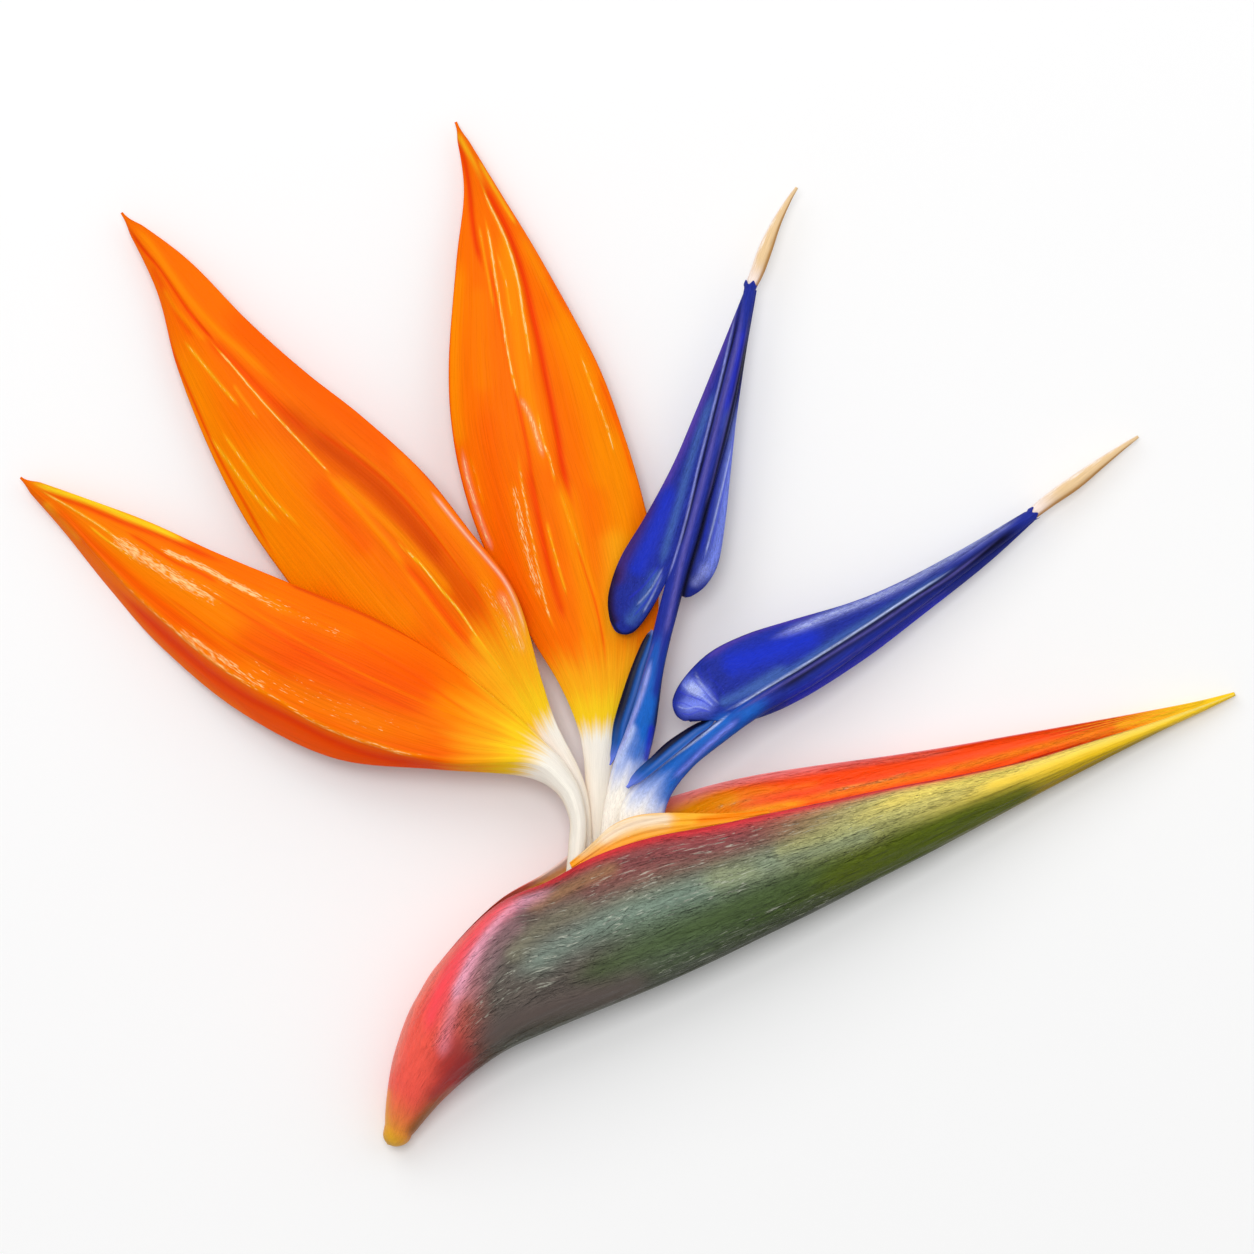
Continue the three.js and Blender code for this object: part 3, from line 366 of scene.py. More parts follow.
SEPAL_UPPER_MARKS = [
    ("light_orange", 0.85, 1.5, 0, 0, [(-40.8, 126.3), (-42.1, 111.3), (-42.1, 98.2), (-41, 87.9)]),
    ("light_orange", 0.35, 1.87, 0, 0, [(-37.8, 120.7), (-37.4, 109.5), (-36.7, 98.2)]),
    ("deep_orange", 0.45, 2.06, 0, 0, [(-36.7, 100.1), (-35.2, 87), (-33.3, 75.8), (-30.9, 64.6),
        (-27.1, 53.3)]),
    ("light_orange", 0.95, 1.68, 0, 0, [(-33.7, 131.9), (-31.8, 122.6), (-30.7, 113.2), (-29.4, 103.8),
        (-27.9, 96.4), (-24.9, 83.3)]),
    ("light_orange", 1, 3.37, 0, 0, [(-14, 96.4), (-11.6, 83.3), (-10.9, 68.3), (-12.2, 57.1),
        (-13.5, 45.8)]),
    ("light_orange", 0.9, 2.06, 0, 0, [(-22.5, 85.1), (-19.6, 72), (-17.2, 58.9), (-16.5, 49.6)]),
    ("deep_orange", 0.5, 1.68, 0, 0, [(-25.3, 122.6), (-21, 113.2), (-17.6, 102)]),
    ("light_orange", 0.7, 0.94, 0, 0, [(-30.9, 131), (-25.3, 119.8), (-19.6, 109.5), (-14.6, 98.2)]),
    ("light_orange", 0.8, 2.81, 0, 0, [(-24, 116.9), (-19.1, 103.8), (-15.3, 90.7), (-13.8, 79.5)]),
    ("amber", 0.5, 2.62, 0, 0, [(-12.7, 75.8), (-12, 64.6), (-13.1, 51.5)]),
    ("red_orange", 0.95, 0.56, -0.2, 0, [(-42.5, 149.5), (-40.8, 145), (-39.7, 140.3), (-39.1, 135.7),
        (-38.7, 131.5), (-38, 127.2), (-36.5, 121.6)]),
    ("amber", 0.9, 0.41, 0.12, 0.2, [(-42.1, 149.1), (-40.4, 145.9), (-38.9, 143.1), (-37.4, 139.8),
        (-35.7, 135.7)]),
    ("amber", 0.8, 0.37, 0.1, 0.2, [(-38.2, 143.7), (-35.6, 139), (-33.3, 135.1), (-30.5, 130.4)]),
    ("red_orange", 1, 0.75, -0.3, 0, [(-40, 146.3), (-37.4, 139.8), (-34.8, 134.7), (-32.6, 130.4),
        (-30.5, 124.8), (-29, 119.8), (-27.7, 114.1), (-26.4, 108.5), (-25.3, 102.9), (-24.1, 97.3),
        (-23, 91.7), (-22.1, 86.1), (-20.8, 81), (-18.9, 75.8)]),
    ("deep_orange", 1, 0.41, -0.22, 0, [(-36.9, 128.2), (-35.4, 122.2), (-34.2, 116.9), (-33.1, 111.3),
        (-32, 105.7), (-30.9, 100.5), (-29.8, 95.4), (-28.6, 89.8), (-27.7, 84.2), (-26.6, 78),
        (-25.3, 71.1), (-24, 64.6), (-22.5, 57.4)]),
    ("red_orange", 0.7, 0.75, -0.15, 0, [(-29.2, 87.9), (-26.9, 77.7), (-25.3, 70.2), (-23.2, 62.7),
        (-21.3, 56.1)]),
    ("amber", 0.8, 0.28, 0.2, 0.9, [(-36.7, 133.4), (-35.4, 127.2), (-34.4, 120.7), (-33.3, 114.1),
        (-32.2, 107.6), (-31.1, 102), (-29.6, 96.7)]),
    ("amber", 0.5, 0.24, 0.12, 0.5, [(-37.6, 131.5), (-36.7, 126.3), (-35.7, 120.7), (-34.6, 114.7)]),
    ("amber", 0.9, 0.27, 0.24, 0.92, [(-37.8, 140.1), (-35.9, 135.1), (-34.2, 131.5), (-32.6, 127.8),
        (-31.2, 123.5), (-30.1, 118.8), (-29.4, 114.1), (-28.4, 108.5), (-27.5, 102.7)]),
    ("amber", 0.4, 0.27, 0.1, 0.6, [(-34.4, 126.3), (-32.7, 120.7), (-32, 116.9), (-31.2, 113.2)]),
    ("blush", 0.2, 0.43, 0.15, 0.85, [(-30.1, 99), (-28.1, 95.4), (-26.8, 91.7), (-25.4, 87)]),
    ("amber", 0.6, 0.23, 0.15, 0.85, [(-26.9, 96.7), (-25.6, 90.7), (-24.3, 87), (-23.2, 82.1)]),
    ("amber", 0.5, 0.23, 0.12, 0.6, [(-22.8, 82.5), (-21, 76.7), (-19.1, 71.5), (-17.6, 66.4),
        (-15.5, 60.2)]),
    ("deep_orange", 0.8, 0.24, -0.14, 0, [(-20.2, 73.5), (-17.8, 66.4), (-15.9, 60.4), (-14.4, 53.3),
        (-13.5, 45.8), (-12.7, 38.7)]),
    ("light_orange", 0.8, 0.32, 0.12, 0.1, [(-18.7, 71.1), (-16.7, 65.1), (-15, 59.5), (-13.7, 53)]),
    ("yellow", 0.5, 0.22, 0.1, 0.62, [(-25.1, 76.3), (-23.8, 71.1), (-22.5, 66.4), (-21, 61.2)]),
    ("light_orange", 0.5, 0.94, 0.1, 0.72, [(-31.4, 84.2), (-30.1, 77.7), (-28.8, 71.1), (-27.3, 65.5),
        (-25.4, 59.3)]),
    ("amber", 0.4, 0.27, 0.12, 0.78, [(-30.5, 89.8), (-29.6, 83.3), (-28.4, 76.7), (-27.3, 71.1),
        (-26.2, 65.5), (-24.7, 58.9), (-23, 54.4)]),
    ("blush", 0.3, 0.4, 0.1, 0.8, [(-40.8, 89.8), (-39.7, 84.2), (-38.4, 79.5), (-37.2, 75.8),
        (-35.9, 72.4), (-34.8, 69.8)]),
    ("light_orange", 0.5, 0.27, 0.05, 0.6, [(-39.3, 87.9), (-37.8, 83.3), (-36.5, 78.2)]),
    ("amber", 0.6, 0.27, 0.1, 0.78, [(-19.1, 107.6), (-17.4, 102.9), (-15.9, 98.8), (-14.6, 95.4),
        (-13.3, 91.7), (-12.2, 87.4)]),
    ("deep_orange", 0.6, 0.37, -0.12, 0, [(-15.7, 103.5), (-12.7, 96.4), (-10.5, 89.8), (-8.6, 83.3)]),
    ("red_orange", 0.6, 0.28, 0, 0, [(-41.4, 126.3), (-42.7, 116.9), (-43.2, 105.7), (-43, 96.4),
        (-41.9, 88.9), (-40.4, 81.4), (-37.8, 73.9)]),
]
ARROW_UPPER_MARKS = [
    ("indigo", 0.7, 1.5, 0, 0, [(12.3, 112.3), (10.9, 103.8), (9, 94.5)]),
    ("azure", 0.8, 1.68, 0, 0, [(-3, 55.2), (-4.7, 45.8), (-6.9, 36.5), (-9.7, 25.3)]),
    ("violet", 0.9, 1.03, 0, 0.12, [(11.6, 118.4), (7.9, 108.5), (4.7, 100.1), (1.9, 92.6), (-1.5, 85.5),
        (-5.2, 78.6)]),
    ("purple", 0.9, 1.31, 0, 0, [(-3.7, 81.4), (-7.5, 73.9), (-10.5, 67.9), (-12.2, 62.7)]),
    ("plum", 0.95, 1.12, 0, 0, [(-11.6, 68.3), (-12.9, 62.7), (-12.9, 58.6), (-11.6, 55.6)]),
    ("royal", 0.8, 1.68, 0, 0, [(-0.9, 83.3), (-3.7, 75.8), (-6.5, 69.2), (-9, 64.6)]),
    ("steel", 0.75, 0.75, 0, 0.2, [(7.1, 101), (4.3, 93.6), (1.9, 86.1), (-0.2, 78.6), (-2.2, 72),
        (-3.9, 66)]),
    ("steel", 0.7, 1.12, 0, 0.2, [(-3.7, 67.4), (-5.8, 62.7), (-8, 58.6), (-10.3, 55.9)]),
    ("pale_blue", 0.35, 0.17, 0, 0.3, [(-3, 67.2), (-5.6, 62.7), (-8.2, 59.7)]),
    ("pale_blue", 0.35, 0.17, 0, 0.3, [(-3.2, 66), (-5.2, 61.6), (-7.1, 58.2)]),
    ("indigo", 0.6, 0.17, 0, 0, [(-3.4, 67.9), (-6.5, 63.8), (-9.7, 60.8)]),
    ("indigo", 0.6, 0.17, 0, 0, [(-3, 66.4), (-5.6, 61.6), (-9, 57.4)]),
    ("lavender", 0.7, 0.22, 0.05, 0.2, [(11.4, 118.8), (9, 112.3), (6, 104.8), (3.2, 97.9), (0, 90.7),
        (-3.4, 83.6), (-6.5, 77.7)]),
    ("navy", 0.9, 0.34, 0, 0, [(-12.7, 64.6), (-13.3, 60.4), (-12.5, 56.7), (-10.7, 54.6), (-8, 55.6),
        (-5.6, 58.6), (-3.4, 62.3)]),
    ("periwinkle", 0.9, 1.5, 0, 0.3, [(10.9, 100.1), (10.1, 92.6), (9.4, 87), (8.4, 79.5), (7.1, 72),
        (5.6, 67.4), (3.2, 63.2)]),
    ("royal", 0.6, 0.37, 0, 0, [(9, 92.6), (7.1, 85.1), (5.2, 76.7), (3.4, 68.3)]),
    ("indigo", 0.5, 0.15, 0, 0, [(10.5, 94.5), (8.8, 85.5), (7.1, 77.3), (5.2, 69)]),
    ("pale_blue", 0.5, 0.15, 0, 0.2, [(9.7, 90.7), (7.9, 82.9), (6, 75), (4.3, 68.3)]),
    ("navy", 0.7, 0.21, 0, 0, [(11, 99.2), (10.3, 90.7), (9.5, 83.3), (9, 77.7), (8, 71.1), (6.7, 66.4),
        (4.7, 63.1), (1.5, 61.4)]),
    ("lavender", 0.5, 0.94, 0, 0.5, [(1.5, 63.1), (3.7, 65.3), (5.4, 68.3)]),
    ("navy", 1, 0.64, -0.1, 0, [(13.7, 117.9), (12.3, 108.5), (10.7, 101), (8.8, 92.6), (6.9, 85.5),
        (5.2, 79), (3.6, 72.6), (1.9, 67), (0.2, 60.8), (-1.7, 54.1)]),
    ("mauve", 0.95, 0.49, 0.1, 0.2, [(12.3, 118.4), (10.9, 110.2), (9, 102.3), (6.9, 94.1), (5.1, 86.4),
        (3.4, 79.9), (1.7, 73.5), (0.2, 67.7), (-1.3, 60.8), (-3, 53.3), (-4.7, 47.3)]),
    ("navy", 1, 0.24, -0.1, 0, [(12, 118.4), (10.1, 109.8), (8.2, 102.5), (6.2, 94.5), (4.3, 87),
        (2.6, 80.5), (0.9, 73.9), (-0.6, 68.7)]),
    ("lavender", 0.9, 0.17, 0.1, 0.4, [(11.4, 117.7), (9.5, 109.5), (7.7, 102), (5.6, 93.9), (3.7, 86.6),
        (2.1, 79.9), (0.4, 73.3), (-1.3, 67.7), (-2.6, 64.2)]),
    ("mauve", 0.5, 0.15, 0, 0.1, [(13.3, 116), (11.8, 107.6), (10.1, 99.7), (8, 91.1), (6.2, 83.6),
        (4.5, 77.3)]),
    ("blue", 0.9, 0.94, 0, 0, [(-2.2, 56.7), (-3.4, 49.6), (-4.7, 42.1), (-6, 34.6)]),
    ("azure", 0.75, 0.94, 0, 0, [(-5.6, 44), (-6.5, 38.4), (-7.9, 33.1)]),
    ("azure", 0.9, 1.31, 0, 0, [(-4.9, 44), (-6, 39.3), (-7.5, 34.6), (-9, 31.2)]),
    ("pale_blue", 0.75, 0.84, 0, 0.2, [(-8.6, 38.4), (-9.7, 35), (-10.9, 32.4), (-11.8, 29.4)]),
    ("lavender", 0.9, 0.45, 0.1, 0.25, [(-5.1, 50.5), (-6.9, 44), (-8.6, 39.3), (-10.5, 34.6),
        (-12.2, 30.9)]),
    ("mauve", 0.7, 0.19, 0, 0, [(-4.7, 53.3), (-6, 49.6), (-7.5, 44.9), (-9.2, 40.6)]),
    ("navy", 0.85, 0.41, -0.1, 0, [(-0.7, 57.1), (-2.2, 50.5), (-3.7, 43), (-4.9, 35.6), (-5.8, 29.9)]),
]
ARROW_FEET = [
    ("azure", 0.85, 1.87, 0, 0, [(0.7, 29.4), (-1.5, 25.3), (-3, 21.1)]),
    ("indigo", 0.9, 0.94, 0, 0, [(2.6, 28.6), (0, 25.3), (-1.9, 21.9), (-3, 19.3)]),
    ("azure", 0.7, 1.5, 0, 0, [(-7.1, 35.6), (-8.2, 32.4), (-9.4, 29.8)]),
    ("indigo", 0.85, 0.65, 0, 0, [(-5.2, 38), (-5.8, 34.2), (-6.5, 30.1)]),
]
ARROW_RIGHT_MARKS = [
    ("azure", 0.8, 1.68, 0, 0, [(17.8, 43), (7.5, 36.5), (0, 29.9), (-7.5, 21.5)]),
    ("royal", 0.95, 2.43, 0, 0, [(28.1, 54.8), (20.6, 52.4), (12.2, 49.6), (6.5, 48.1)]),
    ("lavender", 0.7, 0.86, 0.05, 0.75, [(64.4, 76.9), (59.9, 74.5), (54.3, 70.9), (48.6, 67.5),
        (42.1, 63.8), (35.6, 60.8), (29.9, 58.6), (22.5, 55.6), (15.9, 53)]),
    ("violet", 0.7, 0.65, 0, 0, [(27.1, 58.8), (20.6, 57.1), (14.6, 55.2), (9.4, 52.8), (3.7, 49)]),
    ("steel", 0.8, 0.79, 0, 0.15, [(53.3, 67.9), (44.9, 62.7), (37.4, 58.2), (29.9, 53.7), (22.5, 48.8),
        (15.9, 45.1), (9.9, 41.9)]),
    ("periwinkle", 0.8, 1.68, 0, 0.2, [(7.9, 41.7), (4.5, 41.4), (1.5, 41), (-1.1, 41.4)]),
    ("periwinkle", 0.7, 1.5, 0, 0.3, [(7.1, 42.1), (4.1, 43.6), (1.5, 45.1), (0, 45.8)]),
    ("pale_blue", 0.6, 1.12, 0, 0.5, [(5.2, 42.7), (2.6, 44.2), (0.7, 44.9)]),
    ("indigo", 0.5, 0.13, 0, 0, [(6.7, 41), (4.9, 43.2), (3.2, 45.1), (1.9, 47.2)]),
    ("indigo", 0.6, 0.13, 0, 0, [(6.2, 40.6), (3.7, 42.1), (1.1, 43), (-0.6, 44)]),
    ("indigo", 0.5, 0.13, 0, 0, [(6, 40.2), (3, 40.4), (0.7, 41.4), (-1.1, 41.5)]),
    ("indigo", 0.5, 0.13, 0, 0, [(6, 39.9), (3.6, 40), (1.7, 39.3), (0, 39.7)]),
    ("indigo", 0.5, 0.13, 0, 0, [(7.5, 41.4), (6.2, 43.8), (4.3, 45.7), (3.7, 48.1)]),
    ("indigo", 0.4, 0.13, 0, 0, [(8.6, 42.1), (7.5, 44.5), (5.8, 46.2), (5.2, 48.8)]),
    ("royal", 0.5, 0.13, 0, 0, [(4.9, 41.7), (2.6, 42.5), (0.6, 44)]),
    ("pale_blue", 0.4, 0.13, 0, 0.2, [(6.4, 40.8), (4.1, 42.7), (1.9, 43.8), (0.2, 45.5)]),
    ("pale_blue", 0.3, 0.13, 0, 0.2, [(5.8, 40), (3.4, 40.8), (1.1, 40.4), (-0.6, 41)]),
    ("pale_blue", 0.3, 0.13, 0, 0.2, [(7.3, 41.2), (5.4, 43.2), (3.7, 45.5), (2.8, 47.5)]),
    ("steel", 0.8, 0.94, 0, 0.1, [(6.7, 41.2), (10.3, 42.7), (15, 45.5), (20.6, 48.8)]),
    ("navy", 0.7, 0.21, 0, 0, [(-1.3, 41), (-0.7, 44), (1.9, 47.9), (6.5, 51.8), (12.2, 54.4),
        (17.8, 56.3)]),
    ("navy", 0.6, 0.21, 0, 0, [(-1.3, 41), (-0.2, 38.9), (2.2, 38.2), (5.2, 38.7)]),
    ("indigo", 0.95, 1.12, 0, 0, [(17.2, 39.9), (24.7, 44), (32.2, 48.5), (39.7, 53.7), (47.2, 59.3),
        (52.4, 63.1)]),
    ("navy", 1, 0.97, -0.1, 0, [(65.5, 76.2), (59.9, 71.9), (52.4, 66.6), (44.5, 61.4), (36.9, 56.3),
        (29.2, 51.3), (21.9, 46.4), (15.3, 41.9)]),
    ("mauve", 0.8, 0.28, 0.1, 0.3, [(61.7, 73.9), (51.5, 65.9), (44.9, 61.6), (37.4, 56.5), (29.9, 51.8),
        (22.5, 47.2), (15, 42.7), (9, 38.9)]),
    ("navy", 0.9, 0.19, -0.1, 0, [(51.5, 66.2), (44.9, 62.1), (37.4, 57.4), (29.9, 52.6), (22.5, 47.9),
        (15, 43.6), (10.3, 40.8)]),
    ("pale_blue", 0.85, 0.17, 0.12, 0.4, [(52.4, 67.5), (44.9, 62.7), (39.3, 59.1), (33.7, 55.4),
        (28.1, 51.8), (22.5, 48.3), (16.8, 44.9), (12.2, 42.1), (7.5, 39.5)]),
    ("mauve", 0.4, 0.15, 0, 0.1, [(52.4, 64.7), (44.9, 59.5), (37.4, 54.3), (29.9, 49.2), (22.5, 44.3)]),
    ("blue", 0.8, 0.94, 0, 0, [(12.2, 39.9), (6.5, 35), (1.9, 30.9), (-2.2, 26.2)]),
    ("azure", 0.85, 0.84, -0.05, 0, [(7.1, 38), (2.8, 34.8), (-0.9, 31.8), (-5.2, 28.6)]),
    ("azure", 0.9, 1.31, 0, 0, [(10.3, 39.9), (5.2, 36.1), (0.9, 32.7), (-3.4, 29)]),
    ("periwinkle", 0.7, 0.45, 0.08, 0.2, [(11.6, 39.1), (6.5, 34.8), (1.9, 30.5), (-2.2, 26.6)]),
    ("pale_blue", 0.95, 0.21, 0.12, 0.6, [(9.7, 40), (5.6, 36.7), (1.9, 33.9), (-1.9, 31.2),
        (-5.6, 28.4), (-8.6, 26)]),
    ("navy", 0.9, 0.52, 0, 0, [(16.1, 39.9), (11.2, 35.7), (6.5, 32.2), (2.8, 28.4), (-0.4, 24.1),
        (-3.2, 20.4)]),
    ("plum", 0.75, 0.24, 0, 0, [(12.7, 36.3), (6.5, 31.4), (2.2, 27.1), (-0.9, 23.2)]),
]
SPATHE_MARKS = [
    ("plum_grey", 0.6, 2.81, 0, 0, [(-38.9, -23.4), (-30.9, -17.8), (-22.5, -15), (-13.1, -12.5),
        (-3.7, -8.4)]),
    ("teal", 0.6, 2.81, 0, 0.5, [(-32.7, -10.3), (-22.5, -3.7), (-11.2, 1.9), (1.9, 6.5), (13.1, 10.7),
        (25.3, 15)]),
    ("moss", 0.7, 2.43, 0, 0.2, [(-22.5, -11.2), (-7.5, -4.7), (7.5, 1.9), (22.5, 8.4), (33.7, 13.1)]),
    ("leaf", 0.85, 2.81, 0, 0.16, [(22.5, 6.9), (35.6, 11.8), (47.7, 16.7), (59.9, 21.9), (69.2, 25.6)]),
    ("tan", 0.65, 1.31, 0, 0.3, [(-29.9, 2.4), (-22.5, 6.2), (-16.8, 9), (-10.3, 11.8)]),
    ("salmon", 0.8, 1.12, 0, 0.2, [(-32.7, 5.2), (-39.3, -0.9), (-44.9, -7.5), (-50, -15),
        (-52.8, -22.5), (-54.3, -29.9)]),
    ("crimson_pink", 0.95, 1.5, 0, 0, [(-29, 6), (-35.2, 1.7), (-39.3, -3.2), (-43, -8.4),
        (-45.7, -14.4), (-47.5, -21.5)]),
    ("maroon", 0.6, 1.68, 0, 0, [(-38.2, -23), (-40.4, -25.3), (-42.7, -28.1), (-45.3, -31.2),
        (-47.7, -33.9)]),
    ("maroon", 0.5, 2.25, 0, 0, [(-40, -18.9), (-41.9, -22.3), (-43.8, -25.6), (-46.4, -29.8)]),
    ("brown", 0.8, 1.12, 0, 0, [(-40.8, -29.9), (-44.9, -33.3), (-48.3, -36.5), (-50.9, -39.5)]),
    ("neck_gold", 0.5, 0.75, 0, 0, [(-54.6, -29.9), (-55, -32.7), (-55, -36.1), (-54.3, -39.5),
        (-52.8, -41.4)]),
    ("crimson_pink", 0.6, 1.12, 0, 0.1, [(-28.1, 6), (-33.7, 2.4), (-37.8, -1.7), (-40.8, -6.5),
        (-43, -11.4), (-45.3, -17.8)]),
    ("rose", 0.45, 1.31, 0, 0.3, [(-22.5, 7.7), (-27.1, 5.4), (-31.4, 3.2), (-35.4, -1.1), (-38.4, -5.8),
        (-40.6, -10.7), (-42.3, -15)]),
    ("rose", 0.3, 1.31, 0, 0.2, [(-36.3, -2.4), (-39.7, -8.4), (-41.9, -14), (-43.6, -19.6),
        (-44.9, -25.6)]),
    ("rose", 0.6, 0.56, 0, 0.3, [(-25.3, 6.4), (-31.4, 3.4), (-35.6, -0.9), (-38.7, -5.6), (-41, -10.3),
        (-42.7, -14.8)]),
    ("rose", 0.14, 1.68, 0, 0.34, [(-28.1, 1.9), (-33.7, -3.7), (-37, -9.4), (-40, -15)]),
    ("stone", 0.6, 2.06, 0, 0.4, [(-15, 4.7), (-22.5, 1.9), (-29, -2.8), (-32.7, -7.5)]),
    ("straw", 0.3, 2.43, 0, 0.5, [(1.9, 7.5), (12.2, 10.3), (22.5, 13.7), (31.8, 16.7), (41.2, 19.6)]),
    ("straw", 0.45, 1.68, 0, 0.4, [(16.8, 12.5), (20.6, 14.4), (29.9, 18.1), (39.3, 21.1), (48.6, 24),
        (57.1, 26.4)]),
    ("teal", 0.35, 1.5, 0, 0.4, [(12.2, 10.7), (20.6, 12.9), (29.9, 15.5), (37.4, 17.8)]),
    ("lemon", 0.3, 1.68, 0, 0.34, [(29.9, 19.3), (39.3, 22.3), (48.6, 25.3), (57.1, 27.5), (67.4, 30.5)]),
    ("lemon", 0.85, 1.03, 0, 0.24, [(33.7, 21.5), (42.1, 24), (52.4, 27.3), (62.7, 30.1), (73.9, 33.3),
        (84.2, 36.5), (95.4, 40)]),
    ("golden", 0.4, 0.94, 0, 0, [(55.2, 25.3), (60.8, 27.1), (67.4, 29.4), (76.7, 32.7), (86.1, 36.3),
        (97.3, 40.8)]),
    ("bronze", 0.6, 0.84, 0, 0, [(61.7, 21.1), (67.4, 24.1), (76.7, 29.8), (86.1, 34.2), (92.6, 37.4)]),
]
TROUGH_MARKS = [
    ("trough_orange", 0.8, 0.94, 0, 0.1, [(1.9, 22.3), (9.4, 24), (18.7, 25.8), (28.1, 27.3)]),
    ("trough_gold", 0.7, 1.31, 0, 0, [(-2.8, 21.1), (1.9, 21.9), (6.5, 22.8), (12.2, 24)]),
    ("trough_gold", 0.9, 0.75, 0, 0.1, [(-4.7, 17.4), (3.7, 19.1), (10.3, 20.6), (16.8, 21.9),
        (26.2, 23.6)]),
    ("trough_red", 0.95, 1.12, 0, 0, [(13.1, 25.6), (22.5, 27.1), (33.7, 28.8), (44.9, 30.3),
        (56.1, 32.2), (67.4, 34.1), (76.7, 35.9)]),
    ("trough_orange", 0.9, 0.75, 0, 0.15, [(18.7, 22.8), (29.9, 24.7), (41.2, 27.1), (52.4, 29.6),
        (63.6, 32.4), (74.8, 35.2), (86.1, 38.5)]),
    ("crimson", 0.2, 0.47, 0, 0, [(1.9, 24.7), (9.4, 26.2), (18.7, 27.9), (27.1, 29.4)]),
    ("crimson_pink", 0.55, 0.47, 0, 0.1, [(7.5, 26), (15, 27.3), (23.4, 28.6), (31.8, 29.9), (41.2, 31.4)]),
    ("trough_gold", 0.95, 0.6, 0, 0.1, [(-17.6, 12.3), (-20.6, 10.9), (-23.6, 9.2), (-26.6, 7.3),
        (-29.9, 5.2)]),
    ("salmon", 0.6, 0.56, 0, 0.2, [(3.7, 24.9), (12.2, 26.6), (20.6, 27.9), (31.8, 29.8), (43, 31.4),
        (54.3, 33.1)]),
    ("amber", 0.6, 0.19, 0, 0.6, [(26.2, 24.3), (31.8, 25.8), (37.4, 26.9), (44, 28.8)]),
    ("amber", 0.5, 0.19, 0, 0.5, [(6, 21.7), (9.4, 22.6), (14, 23.8)]),
    ("golden", 0.5, 0.56, 0, 0.1, [(80.5, 37), (84.2, 37.8), (90.7, 39.5), (95.4, 40.8), (100.1, 42.3)]),
]
BRACTEOLE_MARKS = [
    ("bracteole", 0.85, 1.5, 0, 0.5, [(-20.2, 11.8), (-16.8, 15), (-13.1, 17.2), (-9, 18.9),
        (-4.7, 19.6), (0.4, 20)]),
    ("cream", 0.5, 0.94, 0, 0.3, [(-15.7, 15), (-12.3, 17.4), (-8.6, 19.1), (-4.7, 19.8), (-0.7, 20.4)]),
    ("light_orange", 0.8, 1.12, 0, 0.1, [(-22.1, 9.2), (-16.8, 12), (-11.2, 14.2), (-3.7, 15.9),
        (3.7, 17.4), (12.2, 19.3)]),
    ("light_orange", 0.9, 0.94, 0, 0.1, [(1.9, 19.3), (7.5, 20.2), (13.1, 21), (17.8, 21.5)]),
    ("claw_shade", 0.8, 0.22, 0, 0, [(-16.8, 15.5), (-14, 17.6), (-10.9, 19.3), (-7.5, 20.2), (-3.4, 20.4)]),
]


# Curves and masks
def course(rows, t):
    """Smooth values along rows of numbers, one row for each whole t."""
    rows = np.asarray(rows, float)
    last = len(rows) - 1
    t = np.atleast_1d(np.asarray(t, float))
    i = np.minimum(np.floor(t).astype(int), last - 1)
    f = (t - i)[:, None]
    more = np.vstack([2 * rows[0] - rows[1], rows, 2 * rows[-1] - rows[-2]])
    a, b, d, e = more[i], more[i + 1], more[i + 2], more[i + 3]
    bend = 2 * a - 5 * b + 4 * d - e + f * (3 * b - a - 3 * d + e)
    return b + 0.5 * f * (d - a + f * bend)


def ease(low, high, value):
    """0 below low, 1 above high and smooth between them."""
    f = np.clip((np.asarray(value, float) - low) / (high - low), 0, 1)
    return f * f * (3 - 2 * f)


def band(low, high, soft, value):
    """1 between low and high, with soft ends."""
    return ease(low - soft, low + soft, value) * (1 - ease(high - soft, high + soft, value))


def brush(x, y, points, width):
    """1 along a line seen from above, falling off over its half width and at both ends."""
    path = course(points, np.linspace(0, len(points) - 1, 6 * (len(points) - 1) + 1))
    mask = np.zeros(x.shape)
    reach = 2.6 * width
    near = (x > path[:, 0].min() - reach) & (x < path[:, 0].max() + reach)
    near &= (y > path[:, 1].min() - reach) & (y < path[:, 1].max() + reach)
    spot = np.stack([x[near], y[near]], axis=1)
    start, run = path[:-1], np.diff(path, axis=0)
    share = np.clip(((spot[:, None] - start) * run).sum(axis=2) / (run**2).sum(axis=1), 0, 1)
    gap = np.linalg.norm(spot[:, None] - start - share[:, :, None] * run, axis=2)
    row, best = np.arange(len(spot)), gap.argmin(axis=1)
    along = (best + share[row, best]) / len(run)
    length = np.linalg.norm(run, axis=1).sum()
    fade = np.clip(1.8 * width / length, 0.14, 0.5)
    ends = ease(0, fade, along) * (1 - ease(1 - fade, 1, along))
    mask[near] = ends * np.exp(-((gap[row, best] / (width * (0.5 + 0.5 * ends))) ** 2))
    return mask


def paint(x, y, tint, silk_highlight, lift, marks, colours, where=1.0):
    """Lays marks over the tint, the silk and the height of points seen from above."""
    for name, strength, width, height, shine, points in marks:
        mask = brush(x, y, points, width) * where
        tint = towards(tint, getattr(colours, name), strength * mask)
        silk_highlight = silk_highlight + (shine - silk_highlight) * mask
        lift = lift + height * mask
    return tint, silk_highlight, lift


def coated(tint, *coats):
    """A tint under coats of other colours, each with its amount for each point."""
    for colour, amount in coats:
        tint = towards(tint, colour, amount)
    return tint


def plain(colour, shape):
    """One colour for every point."""
    return np.broadcast_to(np.array(colour, float), (*shape, 3))


def linear(red, green, blue):
    """Linear colour from the usual 0 to 255 values."""
    def channel(value):
        value = value / 255
        return value / 12.92 if value <= 0.04045 else ((value + 0.055) / 1.055) ** 2.4
    return (channel(red), channel(green), channel(blue))


